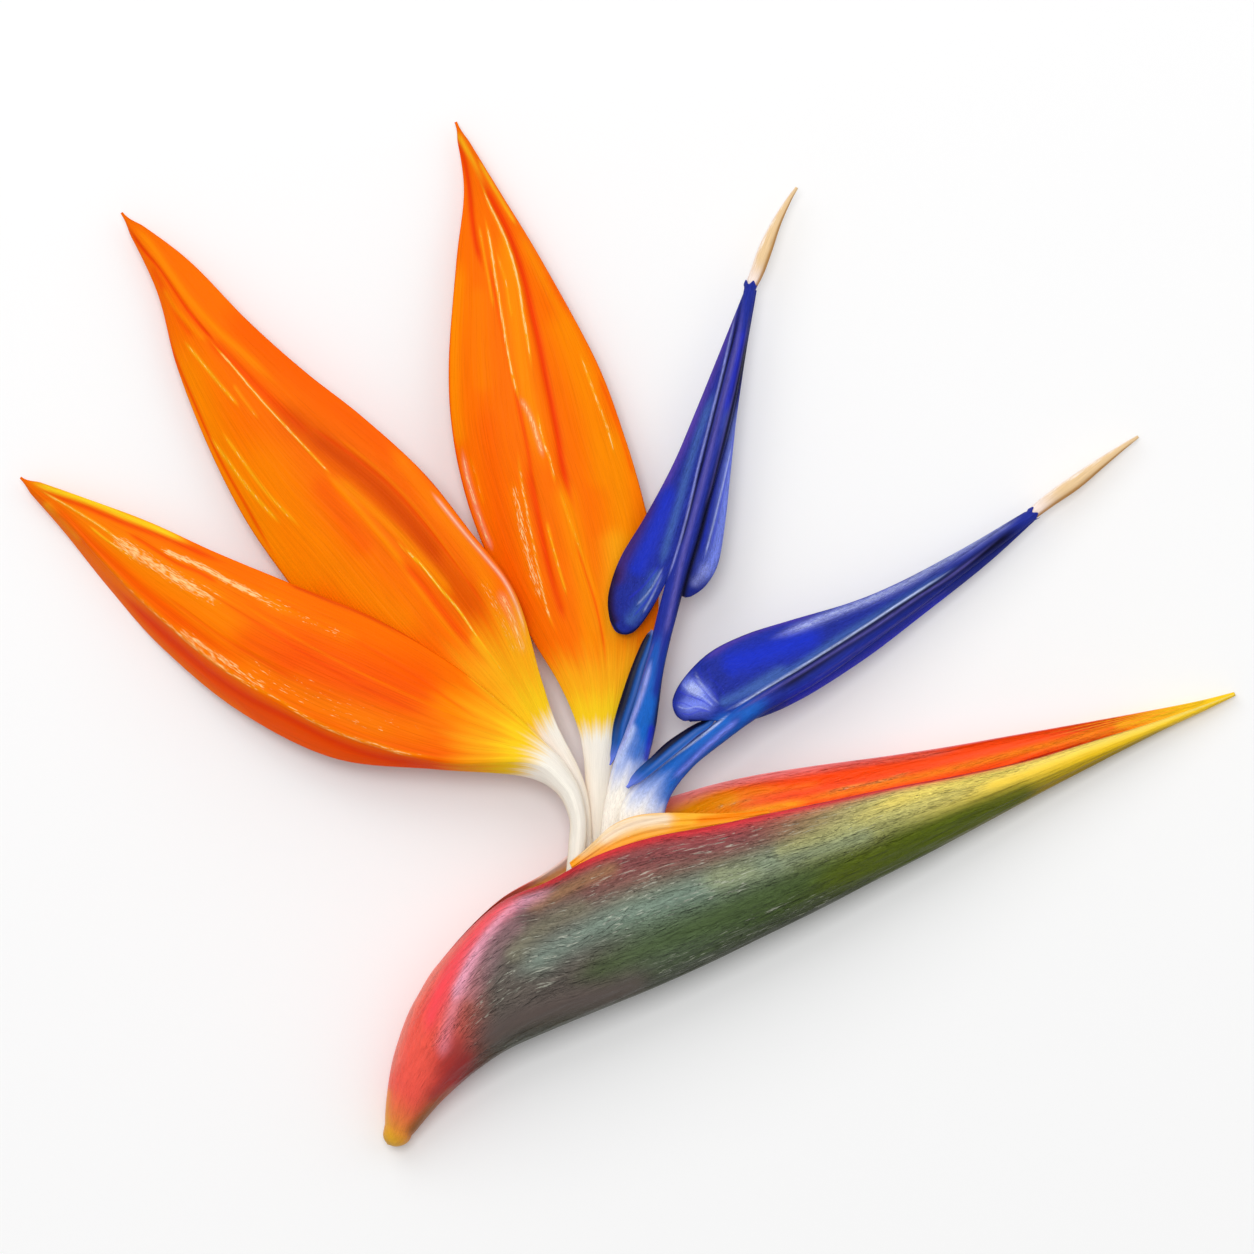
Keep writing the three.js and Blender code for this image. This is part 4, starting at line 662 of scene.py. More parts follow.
def towards(base, colour, amount):
    """Base colours moved towards another colour by an amount for each point."""
    amount = np.asarray(amount, float)[..., None]
    return base + (np.asarray(colour, float) - base) * amount


# Meshes
def in_frame(points):
    """Points in millimetres to metres from the middle of the rest spot, none below the surface."""
    moved = np.array(points, float)
    moved[..., 0] -= REST_SPOT[0]
    moved[..., 1] -= REST_SPOT[1]
    moved[..., 2] = np.maximum(moved[..., 2], 0)
    return moved * (1 / MILLIMETRES)


def loft_object(name, rings, along_u, around_v, tint, silk_highlight):
    """Closed smooth mesh over rings of points, with UV, colour and silk values."""
    stations, sides = rings.shape[:2]
    points = in_frame(rings.reshape(-1, 3))
    ends = np.stack([points[:sides].mean(axis=0), points[-sides:].mean(axis=0)])
    points = np.vstack([points, ends])
    i, j = np.meshgrid(np.arange(stations - 1), np.arange(sides), indexing="ij")
    i, j = i.ravel(), j.ravel()
    k = (j + 1) % sides
    quads = np.stack([i * sides + j, i * sides + k, (i + 1) * sides + k, (i + 1) * sides + j], axis=1)
    quad_u = np.stack([along_u[i], along_u[i], along_u[i + 1], along_u[i + 1]], axis=1)
    quad_v = np.stack([around_v[j], around_v[j + 1], around_v[j + 1], around_v[j]], axis=1)
    j = np.arange(sides)
    k = (j + 1) % sides
    first, last = stations * sides, stations * sides + 1
    tail = (stations - 1) * sides
    caps = np.vstack([
        np.stack([np.full(sides, first), k, j], axis=1),
        np.stack([np.full(sides, last), tail + j, tail + k], axis=1),
    ])
    cap_u = np.vstack([np.full((sides, 3), along_u[0]), np.full((sides, 3), along_u[-1])])
    cap_v = np.vstack([
        np.stack([around_v[j], around_v[j + 1], around_v[j]], axis=1),
        np.stack([around_v[j], around_v[j], around_v[j + 1]], axis=1),
    ])
    corner = points[quads]
    volume = np.einsum("ij,ij->", corner[:, 0], np.cross(corner[:, 1], corner[:, 2]))
    if volume < 0:
        quads, quad_u, quad_v = quads[:, ::-1], quad_u[:, ::-1], quad_v[:, ::-1]
        caps, cap_u, cap_v = caps[:, ::-1], cap_u[:, ::-1], cap_v[:, ::-1]
    loops = np.concatenate([quads.ravel(), caps.ravel()]).astype(np.int32)
    sizes = np.concatenate([np.full(len(quads), 4), np.full(len(caps), 3)])
    starts = np.concatenate([[0], np.cumsum(sizes)[:-1]]).astype(np.int32)
    mesh = bpy.data.meshes.new(name)
    mesh.vertices.add(len(points))
    mesh.vertices.foreach_set("co", points.ravel().astype(np.float32))
    mesh.loops.add(len(loops))
    mesh.loops.foreach_set("vertex_index", loops)
    mesh.polygons.add(len(sizes))
    mesh.polygons.foreach_set("loop_start", starts)
    mesh.polygons.foreach_set("use_smooth", np.ones(len(sizes), bool))
    mesh.update(calc_edges=True)
    uv = np.stack([
        np.concatenate([quad_u.ravel(), cap_u.ravel()]),
        np.concatenate([quad_v.ravel(), cap_v.ravel()]),
    ], axis=1)
    mesh.uv_layers.new(name="Grain").data.foreach_set("uv", uv.ravel().astype(np.float32))
    colour = np.ones((len(points), 4), np.float32)
    flat = tint.reshape(-1, 3)
    colour[:-2, :3] = flat
    colour[-2, :3] = flat[:sides].mean(axis=0)
    colour[-1, :3] = flat[-sides:].mean(axis=0)
    mesh.color_attributes.new("Tint", "FLOAT_COLOR", "POINT").data.foreach_set("color", colour.ravel())
    shine = np.concatenate([silk_highlight.ravel(), [0, 0]]).astype(np.float32)
    mesh.attributes.new("Silk", "FLOAT", "POINT").data.foreach_set("value", shine)
    if mesh.validate():
        raise RuntimeError(name + " had faces that don't close")
    piece = bpy.data.objects.new(name, mesh)
    bpy.context.scene.collection.objects.link(piece)
    return piece


def blade_grid(rails, stations, cells, bulge, rounding):
    """Middle surface of a blade: t along it, v across it, and its points."""
    rails = np.array(rails, float)
    t = np.linspace(0, len(rails) - 1, stations + 1)
    flat = course(rails.reshape(len(rails), -1), t).reshape(len(t), -1, 3)
    columns = [flat[:, :1]]
    across = [np.zeros(1)]
    for k, (count, rise) in enumerate(zip(cells, bulge)):
        share = np.arange(1, count + 1) / count
        near, far = flat[:, k, None], flat[:, k + 1, None]
        strip = near + (far - near) * share[None, :, None]
        strip[:, :, 2] += rise * np.linalg.norm(far - near, axis=2) * np.sin(np.pi * share)
        columns.append(strip)
        across.append((k + share) / len(cells))
    grid = np.concatenate(columns, axis=1)
    for _ in range(rounding):
        grid[:, 1:-1] = 0.5 * grid[:, 1:-1] + 0.25 * (grid[:, :-2] + grid[:, 2:])
    return t, np.concatenate(across), grid


def upward_normals(grid):
    """Unit normals of a grid of points that look up."""
    normal = np.cross(np.gradient(grid, axis=1), np.gradient(grid, axis=0))
    normal /= np.linalg.norm(normal, axis=2, keepdims=True)
    return np.where(normal[:, :, 2:] < 0, -normal, normal)


def blade_rings(t, v, grid, thickness, edge, lift):
    """Rings over and under a blade's middle surface, with its length and width shares."""
    normal = upward_normals(grid)
    swell = np.sin(np.pi * v) ** 0.5
    half = (edge + (thickness(t)[:, None] - edge) * swell[None, :]) / 2
    lift = lift * ease(0, 0.05, np.minimum(v, 1 - v))
    over = grid + normal * (half + lift)[:, :, None]
    under = grid - normal * (half - 0.7 * lift)[:, :, None]
    return np.concatenate([over, under[:, ::-1]], axis=1), np.concatenate([v, v[::-1], v[:1]])


def even(thickness):
    """A thickness that is the same all along a blade."""
    return lambda t: np.full_like(t, thickness)


def both_faces(over, under):
    """Values over a blade followed by the values under it, for its rings."""
    return np.concatenate([over, under[:, ::-1]], axis=1)


def stalk_rings(rows, stations, sides):
    """Rings of an oval stalk along rows of x y z, half width, half height."""
    rows = np.array(rows, float)
    t = np.linspace(0, len(rows) - 1, stations + 1)
    values = course(rows, t)
    centre = values[:, :3]
    run = np.gradient(centre, axis=0)
    run /= np.linalg.norm(run, axis=1, keepdims=True)
    side = np.cross(run, [0, 0, 1])
    side /= np.linalg.norm(side, axis=1, keepdims=True)
    top = np.cross(side, run)
    angle = 2 * np.pi * np.arange(sides) / sides - np.pi / 2
    across = values[:, 3, None, None] * np.cos(angle)[None, :, None] * side[:, None]
    up = values[:, 4, None, None] * np.sin(angle)[None, :, None] * top[:, None]
    rings = centre[:, None] + across + up
    return t, rings, np.linspace(0, 1, sides + 1)


def dress(piece, material, slot_name, *nodes):
    """Gives a piece its material and puts it in the place of its solids."""
    piece.data.materials.append(material)
    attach(piece, "root")
    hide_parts(*nodes)


def joined(name, parts):
    """One object from several meshes."""
    for part in bpy.context.selected_objects:
        part.select_set(False)
    for part in parts:
        part.select_set(True)
    bpy.context.view_layer.objects.active = parts[0]
    bpy.ops.object.join()
    parts[0].name = name
    parts[0].data.name = name
    return parts[0]


# Materials
NOISE_RANGE = (0.3, 0.7)
SILK_CUT = (0.76, 0.84)
NODE_COLUMNS = 7
NODE_START = (-1500, 500)
NODE_STEP = (190, 240)


class Weave:
    """A material's node tree, with short calls to add and link nodes."""

    def __init__(self, name):
        self.material = bpy.data.materials.new(name)
        self.material.use_nodes = True
        self.tree = self.material.node_tree
        self.shader = self.tree.nodes["Principled BSDF"]
        self.count = 0

    def add(self, kind, label, inputs=None, **settings):
        """Adds a node and sets its properties and inputs."""
        made = self.tree.nodes.new(kind)
        made.label = label
        row, column = divmod(self.count, NODE_COLUMNS)
        made.location = (NODE_START[0] + NODE_STEP[0] * column, NODE_START[1] - NODE_STEP[1] * row)
        self.count += 1
        for key, value in settings.items():
            setattr(made, key, value)
        for key, value in (inputs or {}).items():
            if isinstance(value, bpy.types.NodeSocket):
                self.tree.links.new(value, made.inputs[key])
            else:
                made.inputs[key].default_value = value
        return made

    def grain(self, label, along, across, detail=5.0, distortion=0.0):
        """Noise stretched along the piece."""
        uv = self.add("ShaderNodeUVMap", label + " place", uv_map="Grain")
        scaled = self.add("ShaderNodeMapping", label + " scale", {
            "Vector": uv.outputs["UV"],
            "Scale": (along, across, 1),
        })
        return self.add("ShaderNodeTexNoise", label, {
            "Vector": scaled.outputs["Vector"],
            "Scale": 1.0,
            "Detail": detail,
            "Roughness": 0.6,
            "Distortion": distortion,
        }).outputs["Fac"]

    def spread(self, label, value, low, high, to_low, to_high):
        """A value stretched from one range to another."""
        return self.add("ShaderNodeMapRange", label, {
            "Value": value, "From Min": low, "From Max": high, "To Min": to_low, "To Max": to_high,
        }).outputs["Result"]

    def math(self, label, operation, first, second):
        """Two values put together."""
        made = self.add("ShaderNodeMath", label, operation=operation)
        self.tree.links.new(first, made.inputs[0])
        self.tree.links.new(second, made.inputs[1])
        return made.outputs[0]

    def product(self, label, first, second):
        """Two values multiplied."""
        return self.math(label, "MULTIPLY", first, second)

    def total(self, label, first, second):
        """Two values added."""
        return self.math(label, "ADD", first, second)

    def attribute(self, name, output):
        """A value that is painted on the mesh."""
        return self.add("ShaderNodeAttribute", name, attribute_name=name).outputs[output]

    def colour_mix(self, label, amount, first, second, way="MIX"):
        """Two colours mixed. Each of amount, first and second is a value or a socket."""
        made = self.add("ShaderNodeMix", label, data_type="RGBA", blend_type=way)
        for index, value in ((0, amount), (6, first), (7, second)):
            if isinstance(value, bpy.types.NodeSocket):
                self.tree.links.new(value, made.inputs[index])
            elif index == 0:
                made.inputs[index].default_value = value
            else:
                made.inputs[index].default_value = (*value, 1)
        return made.outputs[2]


def plant_skin(
    name, fibres, tone, silk_highlight, silk_grain, roughness, relief,
    coat=0.0, distortion=0.0, calm=1.0, gloss=0.1,
):
    """Waxy plant skin: painted tints, fine fibres along the piece, silky streaks of painted highlight
    and a light relief.

    fibres and silk_grain are counts along and across. tone is the darkest and lightest share of the
    tint. silk_highlight is the colour of the painted highlight streaks and how much of it shows.
    roughness is its lowest and highest value, and relief is a strength and a depth in metres. coat is
    the share of clear coat, distortion bends the fibres, and calm is the share of fibres and relief
    that is left where no highlight streaks are painted.
    """
    weave = Weave(name)
    fibre = weave.grain("Fibres", fibres[0], fibres[1], distortion=distortion)
    coarse = weave.grain(
        "Broad fibres", fibres[0] * 0.3, fibres[1] * 0.22, detail=3.0, distortion=distortion,
    )
    tint = weave.attribute("Tint", "Color")
    level = weave.spread("Fibre tone", fibre, *NOISE_RANGE, *tone)
    broad = weave.spread("Broad tone", coarse, *NOISE_RANGE, 0.95, 1.04)
    shade = weave.product("Tone", level, broad)
    sheen = weave.attribute("Silk", "Fac")
    share = weave.spread("Fibre share", sheen, 0.0, 0.3, calm, 1.0)
    toned = weave.colour_mix("Toned tint", share, tint, shade, "MULTIPLY")
    # Silky streaks: pale highlight painted into the base colour where the painted amount and the threads are
    # high
    threads = weave.grain("Silk threads", *silk_grain, detail=3.0, distortion=distortion)
    painted = weave.spread("Silk share", sheen, 0.12, 1.0, 0.0, 0.42)
    streaks = weave.total("Silk level", threads, painted)
    cut = weave.spread("Silk amount", streaks, *SILK_CUT, 0.0, silk_highlight[1])
    silky = weave.colour_mix("Silky tint", cut, toned, silk_highlight[0])
    weave.tree.links.new(silky, weave.shader.inputs["Base Color"])
    rough = weave.spread("Roughness", fibre, *NOISE_RANGE, roughness[1], roughness[0])
    weave.tree.links.new(rough, weave.shader.inputs["Roughness"])
    strength = weave.spread("Relief strength", sheen, 0.0, 0.3, relief[0] * calm, relief[0])
    fine = weave.add("ShaderNodeBump", "Fine relief", {
        "Height": fibre,
        "Strength": strength,
        "Distance": relief[1],
    })
    swell = weave.add("ShaderNodeBump", "Broad relief", {
        "Height": coarse,
        "Strength": strength,
        "Distance": relief[1] * 2.5,
        "Normal": fine.outputs["Normal"],
    })
    weave.tree.links.new(swell.outputs["Normal"], weave.shader.inputs["Normal"])
    weave.shader.inputs["Specular IOR Level"].default_value = gloss
    weave.shader.inputs["Coat Weight"].default_value = coat
    weave.shader.inputs["Coat Roughness"].default_value = 0.3
    return weave.material


# Settings
def size(name, description, default, low, high):
    """A length in metres that a user may change."""
    return bpy.props.FloatProperty(
        name=name, description=description, default=default, min=low, max=high, precision=5,
        subtype="DISTANCE", unit="LENGTH",
    )


def power(name, description, default):
    """A light's power that a user may change."""
    return bpy.props.FloatProperty(
        name=name, description=description, default=default, min=0, unit="POWER",
    )


def hue(name, description, rgb):
    """A colour that a user may change."""
    return bpy.props.FloatVectorProperty(
        name=name, description=description, default=linear(*rgb), size=3, min=0, max=1, subtype="COLOR"
    )


class FlowerSizes(bpy.types.PropertyGroup):
    """Thicknesses and reliefs of the flower's pieces."""

    sepal_edge: size("Sepal edge", "Thickness of a sepal at its edge", 0.0004, 0.0002, 0.001)
    sepal_ridge: size("Sepal ridge", "Height of a ridge whose mark says 1", 0.0006, 0.0, 0.002)
    wing_edge: size("Wing edge", "Thickness of an arrow's wing at its edge", 0.0004, 0.0002, 0.001)
    bracteole_thickness: size("Bracteole", "Thickness of the bracteole", 0.0006, 0.0003, 0.001)
    spathe_ripple: size("Spathe ripple", "Height of the long ripples of the spathe", 0.00018, 0.0, 0.001)


class SepalColours(bpy.types.PropertyGroup):
    """Colours of the sepals and the bracteole."""

    orange: hue("Orange", "Main colour of the sepals", (254, 112, 0))
    light_orange: hue("Light orange", "Lit facets and margins", (255, 140, 0))
    # Deep orange is painted shade on facets that look away from the light and beside the ridges
    deep_orange: hue("Deep orange", "Facets that look away", (250, 84, 0))
    # Red orange is painted shade in the deep grooves and on facets turned away from the light
    red_orange: hue("Red orange", "Deep grooves", (240, 62, 0))
    # Burnt orange is painted shade in the valley that is turned away from the light
    burnt: hue("Burnt orange", "Widest valley of the middle sepal", (214, 70, 0))
    # Amber lies between the yellow foot and the orange blade; on the fine ridges it is painted highlight
    amber: hue("Amber", "Fine ridges", (255, 180, 24))
    # The foot of the blades is yellow; the thin bright yellow lines on ridges are painted highlights
    yellow: hue("Yellow", "Foot of the blades and their bright lines", (255, 208, 30))
    # Blush is painted highlight on the rolled pale margins and silky patches
    blush: hue("Blush", "Rolled pale margins", (255, 205, 190))
    # Thin dark edges; along the left sepal's upper edge this is a painted shadow line over the middle sepal
    crimson: hue("Crimson", "Thin dark edges", (206, 44, 10))
    cream: hue("Cream", "Claws", (255, 249, 236))
    claw_shade: hue("Claw shade", "Shaded side of the claws", (250, 232, 202))
    # Colour of the painted highlight streaks
    silk_highlight: hue("Silk", "Silky streaks", (255, 214, 150))
    bracteole: hue("Bracteole", "Thin part of the bracteole", (240, 206, 152))
    gold: hue("Gold", "Bracteole along the near rim", (254, 182, 44))


class ArrowColours(bpy.types.PropertyGroup):
    """Colours of the arrows, the nectar petals and the styles."""

    blue: hue("Blue", "Main colour of the arrows", (32, 46, 148))
    royal: hue("Royal blue", "Deep part of the wings", (22, 46, 190))
    azure: hue("Azure", "Lit side of the stalks", (24, 98, 192))
    indigo: hue("Indigo", "Lower wing", (34, 42, 196))
    violet: hue("Violet", "Outer margins of the wings", (84, 62, 164))
    purple: hue("Purple", "Lobe of the upper arrow", (62, 36, 104))
    plum: hue("Plum", "Darkest margins", (36, 16, 50))
    # Navy is the dark blue of the nectar petals; in the grooves and along the sides of the stalks it is
    # painted shade
    navy: hue("Navy", "Grooves", (5, 6, 40))
    steel: hue("Steel blue", "Beside the rib", (66, 100, 172))
    periwinkle: hue("Periwinkle", "Light faces", (126, 144, 246))
    lavender: hue("Lavender", "Lit edges", (150, 158, 228))
    # Pale veins; the pale lines along the ribs and the bright streaks down the stalks are painted highlights
    pale_blue: hue("Pale blue", "Pale lines and veins", (200, 212, 250))
    mauve: hue("Mauve", "Rib", (86, 82, 164))
    white: hue("White", "Foot of the arrows", (250, 244, 232))
    style: hue("Style", "Styles", (234, 200, 152))
    style_foot: hue("Style foot", "Foot of the styles", (246, 226, 214))
    style_edge: hue("Style edge", "Darker edge of the styles", (184, 130, 62))


class SpatheColours(bpy.types.PropertyGroup):
    """Colours of the spathe and the ovaries."""

    green: hue("Grey green", "Side of the spathe", (100, 116, 92))
    # Pale teal is the grey bloom along the side, with a painted sheen over it
    teal: hue("Pale teal", "Bloom along the side", (132, 154, 140))
    stone: hue("Stone", "Bloom beside the neck", (132, 130, 106))
    moss: hue("Moss", "Lower side", (74, 94, 50))
    olive: hue("Olive", "Keel", (52, 58, 34))
    plum_grey: hue("Plum grey", "Keel beside the neck", (98, 82, 80))
    mauve: hue("Mauve", "Under the near rim", (140, 76, 76))
    tan: hue("Tan", "Warm streaks by the neck", (160, 122, 80))
    crimson: hue("Crimson", "Rims", (206, 42, 52))
    crimson_pink: hue("Crimson pink", "Neck", (252, 74, 84))
    salmon: hue("Salmon", "Lit edge of the neck", (255, 132, 112))
    rose: hue("Rose", "Pale sheen on the neck", (255, 178, 204))
    coral: hue("Coral", "Main colour of the neck", (250, 92, 76))
    maroon: hue("Maroon", "Keel side of the neck", (136, 28, 34))
    brown: hue("Brown", "Keel side of the tip", (134, 78, 6))
    neck_gold: hue("Neck gold", "Rounded end", (230, 170, 34))
    leaf: hue("Leaf green", "Under side of the beak", (84, 98, 8))
    # Straw is the pale base of the beak; its streaks before the beak are partly painted highlight
    straw: hue("Straw", "Streaks before the beak", (198, 196, 124))
    lemon: hue("Lemon", "Lit side of the beak", (255, 230, 112))
    golden: hue("Golden", "Beak", (255, 208, 24))
    bronze: hue("Bronze", "Under side of the tip", (152, 124, 2))
    trough_red: hue("Trough red", "Inner face", (255, 78, 10))
    trough_orange: hue("Trough orange", "Inner face by the near rim", (255, 136, 18))
    trough_gold: hue("Trough gold", "Inner face by the petals", (255, 168, 10))
    # Amber is painted highlight on the fine inner ridges
    amber: hue("Amber", "Fine inner ridges", (255, 190, 90))
    blush: hue("Blush", "Far rim", (255, 150, 150))
    film: hue("Film", "Thin pale start of the far rim", (255, 226, 216))
    ovary: hue("Ovary", "Ovaries inside the spathe", (226, 222, 196))


class StageSettings(bpy.types.PropertyGroup):
    """Floor, lights and camera."""

    floor: hue("Floor", "Colour of the floor", (248, 248, 248))
    key: power("Key light", "Power of the large soft light", 4.6)
    top: power("Top light", "Power of the light beside the camera", 40.0)
    fill: power("Fill light", "Power of the opposite light", 2.8)
    sky: bpy.props.FloatProperty(
        name="Sky", description="Strength of the even light from all round", default=0.42, min=0,
    )
    camera_height: size("Camera height", "Distance of the camera above the surface", 3.0, 1.0, 6.0)


# Spathe
SPATHE_STATIONS = 340
SPATHE_OUTER_CELLS = 52
SPATHE_INNER_CELLS = 36
NEAR_OUTSIDE, FAR_OUTSIDE, NEAR_INSIDE, FAR_INSIDE = range(4)
# The rings that close the neck end: their angles in degrees from its tip on, the ring that shows which
# way it points, and its depth and shift in millimetres
NOSE_ANGLES = (84, 67, 50, 33, 16)
NOSE_RINGS = len(NOSE_ANGLES)
NOSE_GUIDE = 20
NOSE_DEPTH = 0.08
NOSE_SHIFT = (-0.8, -0.3, 0)


def spathe_rings(stations, outer_cells, inner_cells):
    """Rings of the spathe, and for each point its station, its share from rim to keel and its face."""
    nose = np.arange(NOSE_RINGS) * 0.001
    rest = np.linspace(0.006, len(SPATHE_SECTIONS) - 1, stations + 1 - NOSE_RINGS)
    t = np.concatenate([nose, rest])
    rows = course(SPATHE_SECTIONS, t)
    keel = np.stack([rows[:, 0], rows[:, 1], rows[:, 6]], axis=1)
    near = np.stack([rows[:, 2], rows[:, 3], rows[:, 6]], axis=1)
    far = np.stack([rows[:, 4], rows[:, 5], rows[:, 6]], axis=1)
    half, gap, wall = rows[:, 7], rows[:, 8], rows[:, 10]
    opening = rows[:, 9] * (1 - 0.5 * ease(9, 10.8, t))
    rim_angle = np.arcsin(np.minimum(gap / half, 1))
    start = (KEEL_WALL / np.linalg.norm(near - keel, axis=1))[:, None]

    def place(side, angle, depth, rim):
        """Points at angles from the rim to the keel, on the skin at depth 0 and on the lining at 1."""
        reach = (1 + np.cos(angle)) / (1 + np.cos(rim_angle))[:, None]
        begin = start * depth
        points = keel[:, None] + (rim - keel[:, None]) * (begin + (1 - begin) * reach)[:, :, None]
        inset = wall[:, None] * depth * np.where(angle < np.pi / 2, 1, np.sin(angle))
        points[:, :, 2] += side * np.maximum(half[:, None] * np.sin(angle) - inset, 0)
        return points

    def sweep(cells):
        """Angles from the rim to the keel."""
        share = np.arange(cells + 1) / cells
        return rim_angle[:, None] + (np.pi - rim_angle)[:, None] * share[None, :]

    from_rim = np.arange(outer_cells + 1) / outer_cells
    on_skin = np.zeros((stations + 1, 1))
    outer_far = place(-1, sweep(outer_cells), on_skin, far[:, None])
    outer_near = place(1, sweep(outer_cells), on_skin, near[:, None])[:, ::-1]
    outer = np.concatenate([outer_far, outer_near[:, 1:]], axis=1)
    outer_share = np.concatenate([from_rim, from_rim[::-1][1:]])
    outer_face = [FAR_OUTSIDE] * (outer_cells + 1) + [NEAR_OUTSIDE] * outer_cells

    inner_share = np.arange(inner_cells + 1) / inner_cells
    near_hollow = place(1, sweep(inner_cells), on_skin + 1, near[:, None])
    far_hollow = place(-1, sweep(inner_cells), on_skin + 1, far[:, None])
    hollow = np.concatenate([near_hollow, far_hollow[:, ::-1][:, 1:]], axis=1)
    cross = np.arange(2 * inner_cells + 1) / (2 * inner_cells)
    rim = near[:, None] + (far - near)[:, None] * cross[None, :, None]
    lid_angle = 0.97 * rim_angle[:, None] * np.abs(2 * cross - 1)[None, :]
    lid_depth = np.minimum(rows[:, 9] / 0.3, 1)[:, None]
    lid_near = place(1, lid_angle, lid_depth, rim)
    lid_far = place(-1, lid_angle, lid_depth, rim)
    lid = np.where((cross <= 0.5)[None, :, None], lid_near, lid_far)
    inner = lid + (hollow - lid) * opening[:, None, None]
    inner_from_rim = np.concatenate([inner_share, inner_share[::-1][1:]])
    inner_face = [NEAR_INSIDE] * (inner_cells + 1) + [FAR_INSIDE] * inner_cells

    rings = np.concatenate([outer, inner], axis=1)
    share = np.concatenate([outer_share, inner_from_rim])
    face = np.array(outer_face + inner_face)
    return t, rings, share, face


def rounded_nose(t, rings):
    """Rings of the spathe with its closed neck end rounded."""
    centre = rings.mean(axis=1, keepdims=True)
    along = np.clip(t, 0.004, 1)
    # The width of a round end, over the width that the sections give there
    wide = (2 * along - along ** 2) ** 0.6 / (0.31 + 0.69 * along)
    rings = centre + (rings - centre) * wide[:, None, None]
    shift = (1 - ease(0, 1, t))[:, None, None] * np.array(NOSE_SHIFT)
    rings, centre = rings + shift, centre + shift
    back = centre[0] - centre[NOSE_GUIDE]
    back /= np.linalg.norm(back)
    for k, degrees in enumerate(NOSE_ANGLES):
        angle = np.radians(degrees)
        spread = (rings[NOSE_RINGS] - centre[NOSE_RINGS]) * np.cos(angle)
        rings[k] = centre[k] + spread + back * NOSE_DEPTH * np.sin(angle)
    return rings


def rippled(rings, height):
    """Rings of the spathe pushed outwards by a height for each point."""
    around = np.roll(rings, -1, axis=1) - np.roll(rings, 1, axis=1)
    normal = np.cross(around, np.gradient(rings, axis=0))
    normal /= np.maximum(np.linalg.norm(normal, axis=2, keepdims=True), 1e-9)
    middle = rings.mean(axis=1, keepdims=True)
    inward = np.einsum("ijk,ijk->ij", normal, rings - middle)[:, :, None] < 0
    return rings + np.where(inward, -normal, normal) * height[:, :, None]


def outer_tint(tt, ss, colours):
    """Tint of the spathe's outside by station and by share from rim to keel."""
    side = coated(
        plain(colours.green, tt.shape),
        (colours.mauve, 1 - ease(0.12, 0.4, ss)),
        (colours.plum_grey, 0.8 * (1 - ease(6.2, 8.2, tt - ss))),
        (colours.moss, ease(0.36, 0.62, ss) * ease(7.5, 10.5, tt)),
        (colours.leaf, ease(0.3, 0.6, ss) * ease(9.8, 12.5, tt)),
        (colours.olive, ease(0.6, 0.95, ss) * (1 - ease(11.5, 14, tt))),
    )
    neck = coated(
        plain(colours.coral, tt.shape),
        (colours.maroon, ease(0.4, 0.95, ss) * ease(1.4, 4, tt)),
        (colours.neck_gold, 1 - ease(0.2, 2.4, tt + 0.3 * ss)),
        (colours.brown, ease(0.5, 0.9, ss) * band(0.9, 2.6, 0.5, tt) * 0.8),
    )
    beak = coated(
        plain(colours.straw, tt.shape),
        (colours.lemon, ease(12.4, 14.2, tt)),
        (colours.golden, ease(0.18, 0.5, ss) * ease(12.8, 16, tt)),
        (colours.leaf, ease(0.28, 0.6, ss) * (1 - ease(12.8, 16.4, tt - 1.2 * ss))),
        (colours.olive, 0.8 * ease(0.55, 0.95, ss) * (1 - ease(13.5, 16.5, tt))),
        (colours.bronze, ease(0.5, 0.9, ss) * band(14.2, 17.6, 1.5, tt)),
        (colours.golden, ease(16.8, 18.2, tt) * ease(0.2, 0.5, ss)),
    )
    tint = side + (beak - side) * ease(10.2, 13.2, tt - 0.6 * ss)[:, :, None]
    by_keel = 0.6 * ease(0.8, 1, ss)
    past_neck = ease(3.7 - by_keel, 5.6 + by_keel, tt + 1.3 * ss - 0.5)
    return neck + (tint - neck) * past_neck[:, :, None]


def rim_tint(tint, tt, ss, ff, colours):
    """The outside's tint with its red rims and the salmon margin of the far side."""
    rim = (1 - ease(0.015, 0.085, ss)) * (1 - ease(13.8, 16, tt)) * ease(4.4, 6, tt)
    pinker = (1 - ease(0.01, 0.16, ss)) * band(9.6, 15, 1.2, tt)
    line = (1 - ease(0.01, 0.03 + 0.03 * ease(11, 15, tt), ss)) * ease(4.4, 6, tt)
    far_margin = (ff == FAR_OUTSIDE) * (1 - ease(0.1, 0.4, ss)) * ease(3, 5, tt)
    return coated(
        tint,
        (colours.crimson, 0.9 * rim),
        (colours.crimson_pink, 0.5 * pinker),
        (colours.crimson, 0.85 * (line * (1 - ease(16, 17.5, tt)))),
        (colours.salmon, 0.9 * (far_margin * (1 - ease(15, 18, tt)))),
    )


